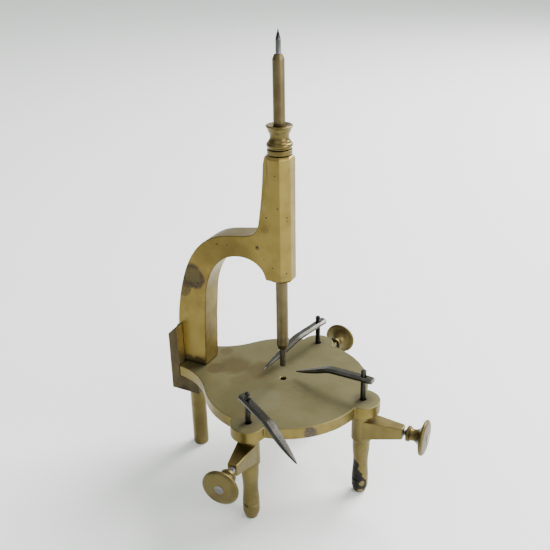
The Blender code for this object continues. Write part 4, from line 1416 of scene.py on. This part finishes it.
@dataclass
class Station:
    """One clamp leg with its thumb screw, post and dog."""

    bench: Bench
    paint: Paint
    table: Table
    side: Side
    leg_turn: float
    block_length: float
    knob_start: float
    finger_length: float
    finger_direction: float
    screw_height: float = -11.9
    block_top: float = -9.2
    block_near: Point = (4.6, -19.4)
    block_far: Point = (2.2, -14.6)
    boss: float = 4.7
    foot: float = -51.39
    well_bottom: float = -25.0
    post_radius: float = 1.2
    post_top: float = 15.0
    shank: float = 1.5
    pitch: float = 0.7
    knob_radius: float = 8.0
    knob_length: float = 9.4
    half_width: float = 2.2
    finger_thick: float = 2.1
    rear: float = 4.6
    knee: float = 17.0
    finger_top: float = 12.0
    knee_top: float = 11.1
    tip_top: float = 3.4
    frames: dict[str, Matrix] = field(init=False)

    def __post_init__(self) -> None:
        """Work out the post's, the block's, the screw's and the finger's own frames."""
        post = Matrix.Translation((*self.table.station(self.side), 0.0))
        block = post @ Matrix.Rotation(math.radians(self.side.value + self.leg_turn), 4, "Z")
        lowered = Matrix.Translation((0.0, 0.0, self.screw_height))
        screw = block @ lowered @ Matrix.Rotation(math.pi / 2, 4, "Y")
        finger = post @ Matrix.Rotation(math.radians(self.finger_direction), 4, "Z")
        self.frames = {"post": post, "block": block, "screw": screw, "finger": finger}

    def leg_profile(self) -> list[Point]:
        """Side of the turned leg: boss, moulded shoulder, waist, groove and rounded foot.

        Returns:
            Its (radius, height) points, downwards.
        """
        top = -self.table.thickness - GAP
        shoulder = rounded([(0.0, top), (self.boss, top, 0.25), (self.boss, -20.7, 0.9), (3.98, -21.6, 0.3),
                            (3.95, -22.8)])
        shank = smooth_line([(3.95, -22.8), (3.85, -26.6), (3.5, -30.9), (3.4, -34.2), (3.55, -38.0),
                             (3.8, -41.6)])
        foot = rounded([(3.8, -41.6), (3.8, -42.8, 0.2), (3.35, -43.15, 0.12), (3.8, -43.5, 0.25),
                        (3.76, -47.6, 3.0), (2.9, -50.7, 1.6), (1.7, self.foot, 1.0), (0.0, self.foot)])
        return shoulder[:-1] + shank[:-1] + foot

    def part(self, work: bpy.types.Object, finish: Finish, name: str, crease: float = 32.0) -> None:
        """Finish a blank that is a body of its own.

        Args:
            work: The blank.
            finish: Its finish.
            name: Name of its body and of its node, without the station's.
            crease: Angle past which an edge stays sharp, in degrees.
        """
        own = f"{name}_{self.side.label}"
        self.bench.finish(work, finish, own, [own], crease)

    def leg(self) -> None:
        """Turned leg with the tapered block that the thumb screw runs through."""
        bench = self.bench
        brass = self.paint.of(Finish.LEGS)
        leg = bench.blank(f"clamp_leg_{self.side.label}", bench.lathe.turn(self.leg_profile(), brass),
                          self.frames["post"])
        grid = bmesh.new()
        bmesh.ops.create_cube(grid, size=1.0)
        for corner in grid.verts:
            outer = corner.co.x > 0
            half, low = self.block_far if outer else self.block_near
            corner.co = Vector((self.block_length if outer else 0.0, math.copysign(half, corner.co.y),
                                self.block_top if corner.co.z > 0 else low))
        block = bench.blank("block", mesh_from(grid, "block", brass), self.frames["block"])
        bench.soften(block, 0.42)
        bench.combine(leg, block, "UNION")
        bore = [(0.0, self.block_length + 1.0), (self.shank + 0.5, self.block_length + 1.0),
                (1.4, self.block_length - 0.4), (1.4, 0.8), (0.0, 0.8)]
        bench.drill(leg, bore, brass, place=self.frames["screw"])
        well_top = 0.6 - self.table.thickness
        radius = self.table.post_hole / 2
        well = [(0.0, well_top), (radius, well_top), (radius, self.well_bottom), (0.0, self.well_bottom)]
        bench.drill(leg, well, brass, place=self.frames["post"])
        bench.finish(leg, Finish.LEGS, "base", [f"leg_{self.side.label}"])

    def screw(self) -> None:
        """Steel screw, threaded where it comes out of the block, riveted over in the knob's face."""
        end = self.knob_start + self.knob_length + 0.15
        thread_top = self.knob_start + 1.0
        thread_low = self.block_length - 3.0
        count = round((thread_top - thread_low) / self.pitch * 10)
        rise = (thread_top - thread_low) / count
        threaded = [(self.shank - 0.02, thread_top - rise * i) for i in range(count + 1)]
        face = self.knob_start + self.knob_length
        profile = rounded([(0.0, end), (1.2, end - 0.02, 0.6), (1.9, face - 0.02, 0.1), (1.9, face - 0.12)])
        profile += [(self.shank, face - 0.14), *threaded, (1.05, thread_low - 0.4), (1.05, 3.0), (0.0, 3.0)]
        mesh = self.bench.lathe.turn(profile, self.paint.of(Finish.SCREWS), HOLE_STEPS, Pitch=self.pitch,
                                     Thread_Depth=0.42, Thread_Low=thread_low + 0.2,
                                     Thread_High=thread_top - 0.1)
        screw = self.bench.blank(f"thumb_screw_{self.side.label}", mesh, self.frames["screw"])
        self.part(screw, Finish.SCREWS, "clamp_screw")

    def knob(self) -> None:
        """Turned knob: ringed flange, waisted neck and a broad disc with a raised border."""
        start = self.knob_start
        face = start + self.knob_length
        rim = self.knob_radius
        bore = self.shank + GAP
        front = rounded([(bore + 0.05, face - 0.2), (3.2, face - 0.25, 0.5), (6.6, face - 0.6, 0.3),
                         (rim - 0.75, face - 0.75, 0.3), (rim - 0.08, face - 1.25, 0.4),
                         (rim, face - 1.7, 0.4), (rim - 0.12, face - 2.15, 0.4), (rim - 0.7, face - 2.5)])
        back = smooth_line([(rim - 0.7, face - 2.5), (5.4, face - 3.0), (3.7, face - 4.0), (2.85, face - 5.2),
                            (2.6, face - 6.2), (2.75, start + 2.2)])
        flange = rounded([(2.75, start + 2.2), (3.05, start + 1.75, 0.15), (3.5, start + 1.45, 0.2),
                          (3.5, start + 0.25, 0.3), (3.1, start, 0.2), (bore + 0.05, start)])
        profile = front[:-1] + back[:-1] + flange
        mesh = self.bench.lathe.turn(profile, self.paint.of(Finish.KNOBS), hollow=True)
        knob = self.bench.blank(f"thumb_knob_{self.side.label}", mesh, self.frames["screw"])
        self.part(knob, Finish.KNOBS, "clamp_knob")

    def post(self) -> None:
        """Round post with a domed top and a groove under it."""
        r = self.post_radius
        top = self.post_top
        profile = rounded([(0.0, top), (0.75 * r, top, 0.5), (r, top - 0.45, 0.4), (r, top - 1.25, 0.1),
                           (r - 0.18, top - 1.4, 0.08), (r - 0.18, top - 1.6, 0.08), (r, top - 1.75, 0.1),
                           (r, -21.6), (r - 0.4, -22.0), (0.0, -22.0)])
        mesh = self.bench.lathe.turn(profile, self.paint.of(Finish.POST), PIN_STEPS)
        post = self.bench.blank(f"post_{self.side.label}", mesh, self.frames["post"])
        self.part(post, Finish.POST, "dog_post")

    def finger_section(self, distance: float) -> tuple[float, float, float]:
        """Top height, thickness and half width of the finger.

        Args:
            distance: Distance from the post, negative behind it.

        Returns:
            The three sizes there.
        """
        past = (distance - self.knee) / (self.finger_length - self.knee)
        blend = 1.6
        flat = self.finger_top + (self.knee_top - self.finger_top) * max(distance, 0.0) / self.knee
        fall = self.knee_top + (self.tip_top - self.knee_top) * past
        gap = flat - fall
        top = (flat + fall - math.sqrt(gap ** 2 + 0.1 * blend)) / 2 if distance > 0 else flat
        if past <= 0:
            end = self.rear + distance
            corner = 0.8
            half = self.half_width if end > corner else self.half_width - 0.6 * (1 - end / corner) ** 2
            return top, self.finger_thick, half
        taper = past ** 2.0
        return top, self.finger_thick + (0.5 - self.finger_thick) * taper, \
            self.half_width + (0.3 - self.half_width) * taper

    def finger_mesh(self, steel: bpy.types.Material) -> bpy.types.Mesh:
        """Loft of the finger from its rear end to its tip.

        Args:
            steel: Its material.

        Returns:
            The mesh, closed and facing out.
        """
        count = 40
        reach = self.finger_length + self.rear
        near = [-self.rear + 0.2 * i for i in range(5)]
        distances = near + [-self.rear + 1.0 + (reach - 1.0) * (i + 1) / count for i in range(count)]
        grid = bmesh.new()
        rings = []
        for distance in distances:
            top, thick, half = self.finger_section(distance)
            flat = 0.55 * half
            side = top - 0.42 * thick
            low = top - thick
            foot = low + 0.12 * thick
            corners = ((-half, side), (-flat, top), (flat, top), (half, side), (half, foot),
                       (0.9 * half, low), (-0.9 * half, low), (-half, foot))
            rings.append([grid.verts.new((distance, y, z)) for y, z in corners])
        for first, second in zip(rings, rings[1:]):
            for k in range(len(first)):
                after = (k + 1) % len(first)
                grid.faces.new((first[k], second[k], second[after], first[after]))
        grid.faces.new(rings[0])
        grid.faces.new(reversed(rings[-1]))
        bmesh.ops.recalc_face_normals(grid, faces=grid.faces)
        return mesh_from(grid, "finger", steel)

    def finger(self) -> None:
        """Steel finger, bored for its post."""
        bench = self.bench
        steel = self.paint.of(Finish.STEEL)
        finger = bench.blank(f"finger_{self.side.label}", self.finger_mesh(steel), self.frames["finger"])
        bench.soften(finger, 0.14, 2, 24.0)
        hole = self.post_radius + GAP
        top = self.finger_top
        profile = [(0.0, top + 1.0), (hole + 1.1, top + 1.0), (hole, top - 0.1), (hole, 4.0), (0.0, 4.0)]
        bench.drill(finger, profile, steel, place=self.frames["post"])
        self.part(finger, Finish.STEEL, "dog_finger", crease=22.0)

    def build(self) -> None:
        """Build every piece of the station."""
        self.leg()
        self.screw()
        self.knob()
        self.post()
        self.finger()


# ---------------------------------------------------------------- stage


@dataclass(frozen=True)
class Viewpoint:
    """Where the tool is looked at from, in its own millimetres."""

    place: Place = (131.1, -263.4, 191.1)
    azimuth: float = 27.02
    elevation: float = 25.13
    roll: float = -1.10
    lens: float = 48.87

    def set_up(self, datum: Datum) -> None:
        """Make the scene's camera.

        Args:
            datum: Where the tool lies in the world.
        """
        side = math.radians(self.azimuth)
        rise = math.radians(self.elevation)
        back = Vector((math.sin(side) * math.cos(rise), -math.cos(side) * math.cos(rise), math.sin(rise)))
        level = Vector((0.0, 0.0, 1.0)).cross(back).normalized()
        upright = back.cross(level)
        lean = math.radians(self.roll)
        right = level * math.cos(lean) + upright * math.sin(lean)
        axes = Matrix((right, back.cross(right), back)).transposed()
        camera = bpy.data.objects.new("camera", bpy.data.cameras.new("camera"))
        camera.data.lens = self.lens
        camera.data.clip_start = 0.01
        camera.matrix_world = Matrix.Translation(datum.world(self.place)) @ axes.to_4x4()
        bpy.context.scene.collection.objects.link(camera)
        bpy.context.scene.camera = camera


@dataclass(frozen=True)
class Softbox:
    """A soft rectangular lamp, aimed at the tool."""

    name: str
    place: Place
    size: float
    power: float
    colour: Colour = (1.0, 1.0, 1.0)

    def hang(self) -> None:
        """Hang the lamp."""
        lamp = bpy.data.lights.new(self.name, "AREA")
        lamp.size = self.size
        lamp.energy = self.power
        lamp.color = self.colour
        holder = bpy.data.objects.new(self.name, lamp)
        holder.location = self.place
        aim = Vector((0.0, 0.0, 0.08)) - Vector(self.place)
        holder.rotation_euler = aim.to_track_quat("-Z", "Y").to_euler()
        bpy.context.scene.collection.objects.link(holder)


@dataclass(frozen=True)
class Surroundings:
    """Even surroundings that are brighter towards one side."""

    towards: Place = (0.80, 0.55, 0.15)
    dim: Colour = (0.50, 0.52, 0.52)
    bright: Colour = (1.55, 1.60, 1.56)

    def build(self) -> None:
        """Make the scene's world."""
        world = bpy.data.worlds.new("surroundings")
        world.use_nodes = True
        tree = world.node_tree
        direction = tree.nodes.new("ShaderNodeTexCoord")
        side = tree.nodes.new("ShaderNodeVectorMath")
        side.operation = "DOT_PRODUCT"
        side.inputs[1].default_value = self.towards
        share = tree.nodes.new("ShaderNodeMapRange")
        share.inputs["From Min"].default_value = -0.8
        share.inputs["From Max"].default_value = 0.9
        tone = tree.nodes.new("ShaderNodeMix")
        tone.data_type = "RGBA"
        tone.inputs[6].default_value = (*self.dim, 1.0)
        tone.inputs[7].default_value = (*self.bright, 1.0)
        tree.links.new(direction.outputs["Generated"], side.inputs[0])
        tree.links.new(side.outputs["Value"], share.inputs["Value"])
        tree.links.new(share.outputs["Result"], tone.inputs[0])
        tree.links.new(tone.outputs[2], tree.nodes["Background"].inputs["Color"])
        bpy.context.scene.world = world


@dataclass
class Studio:
    """Pale floor, surroundings and soft lamps."""

    floor_half: float = 6.0
    lamps: tuple[Softbox, ...] = (
        Softbox("key", (0.55, 1.05, 1.10), 1.0, 62.0),
        Softbox("side", (0.85, -0.15, 0.42), 0.7, 9.0),
        Softbox("fill", (-0.1, -1.4, 1.7), 1.8, 7.0, (0.98, 0.98, 1.0)),
    )

    def build(self) -> None:
        """Lay the floor, make the surroundings and hang the lamps."""
        tree = ShaderTree("pale_floor")
        tone = tree.mix(tree.noise(220.0, 2.0), (0.79, 0.82, 0.79), (0.82, 0.85, 0.82))
        tree.set("Base Color", tone)
        tree.set("Roughness", 0.75)
        grid = bmesh.new()
        bmesh.ops.create_grid(grid, x_segments=1, y_segments=1, size=self.floor_half)
        floor = bpy.data.objects.new("floor", mesh_from(grid, "floor", tree.material))
        bpy.context.scene.collection.objects.link(floor)
        Surroundings().build()
        for lamp in self.lamps:
            lamp.hang()


def main() -> None:
    """Build the tool and its stage."""
    logging.basicConfig(level=logging.INFO, format="%(message)s")
    datum = Datum.read()
    Viewpoint().set_up(datum)
    Studio().build()
    bench = Bench(datum)
    paint = Paint(datum)
    table = Table(bench, paint)
    table.build()
    Arm(bench, paint).build()
    Heel(bench, paint).build()
    Spindle(bench, paint).build()
    Collar(bench, paint).build()
    Station(bench, paint, table, Side.FRONT, 5.0, 17.5, 21.1, 37.0, -31.0).build()
    Station(bench, paint, table, Side.RIGHT, 0.0, 19.5, 21.0, 34.4, 174.0).build()
    Station(bench, paint, table, Side.BACK, -2.0, 18.5, 20.2, 40.0, 254.0).build()


if __name__ == "__main__":
    main()
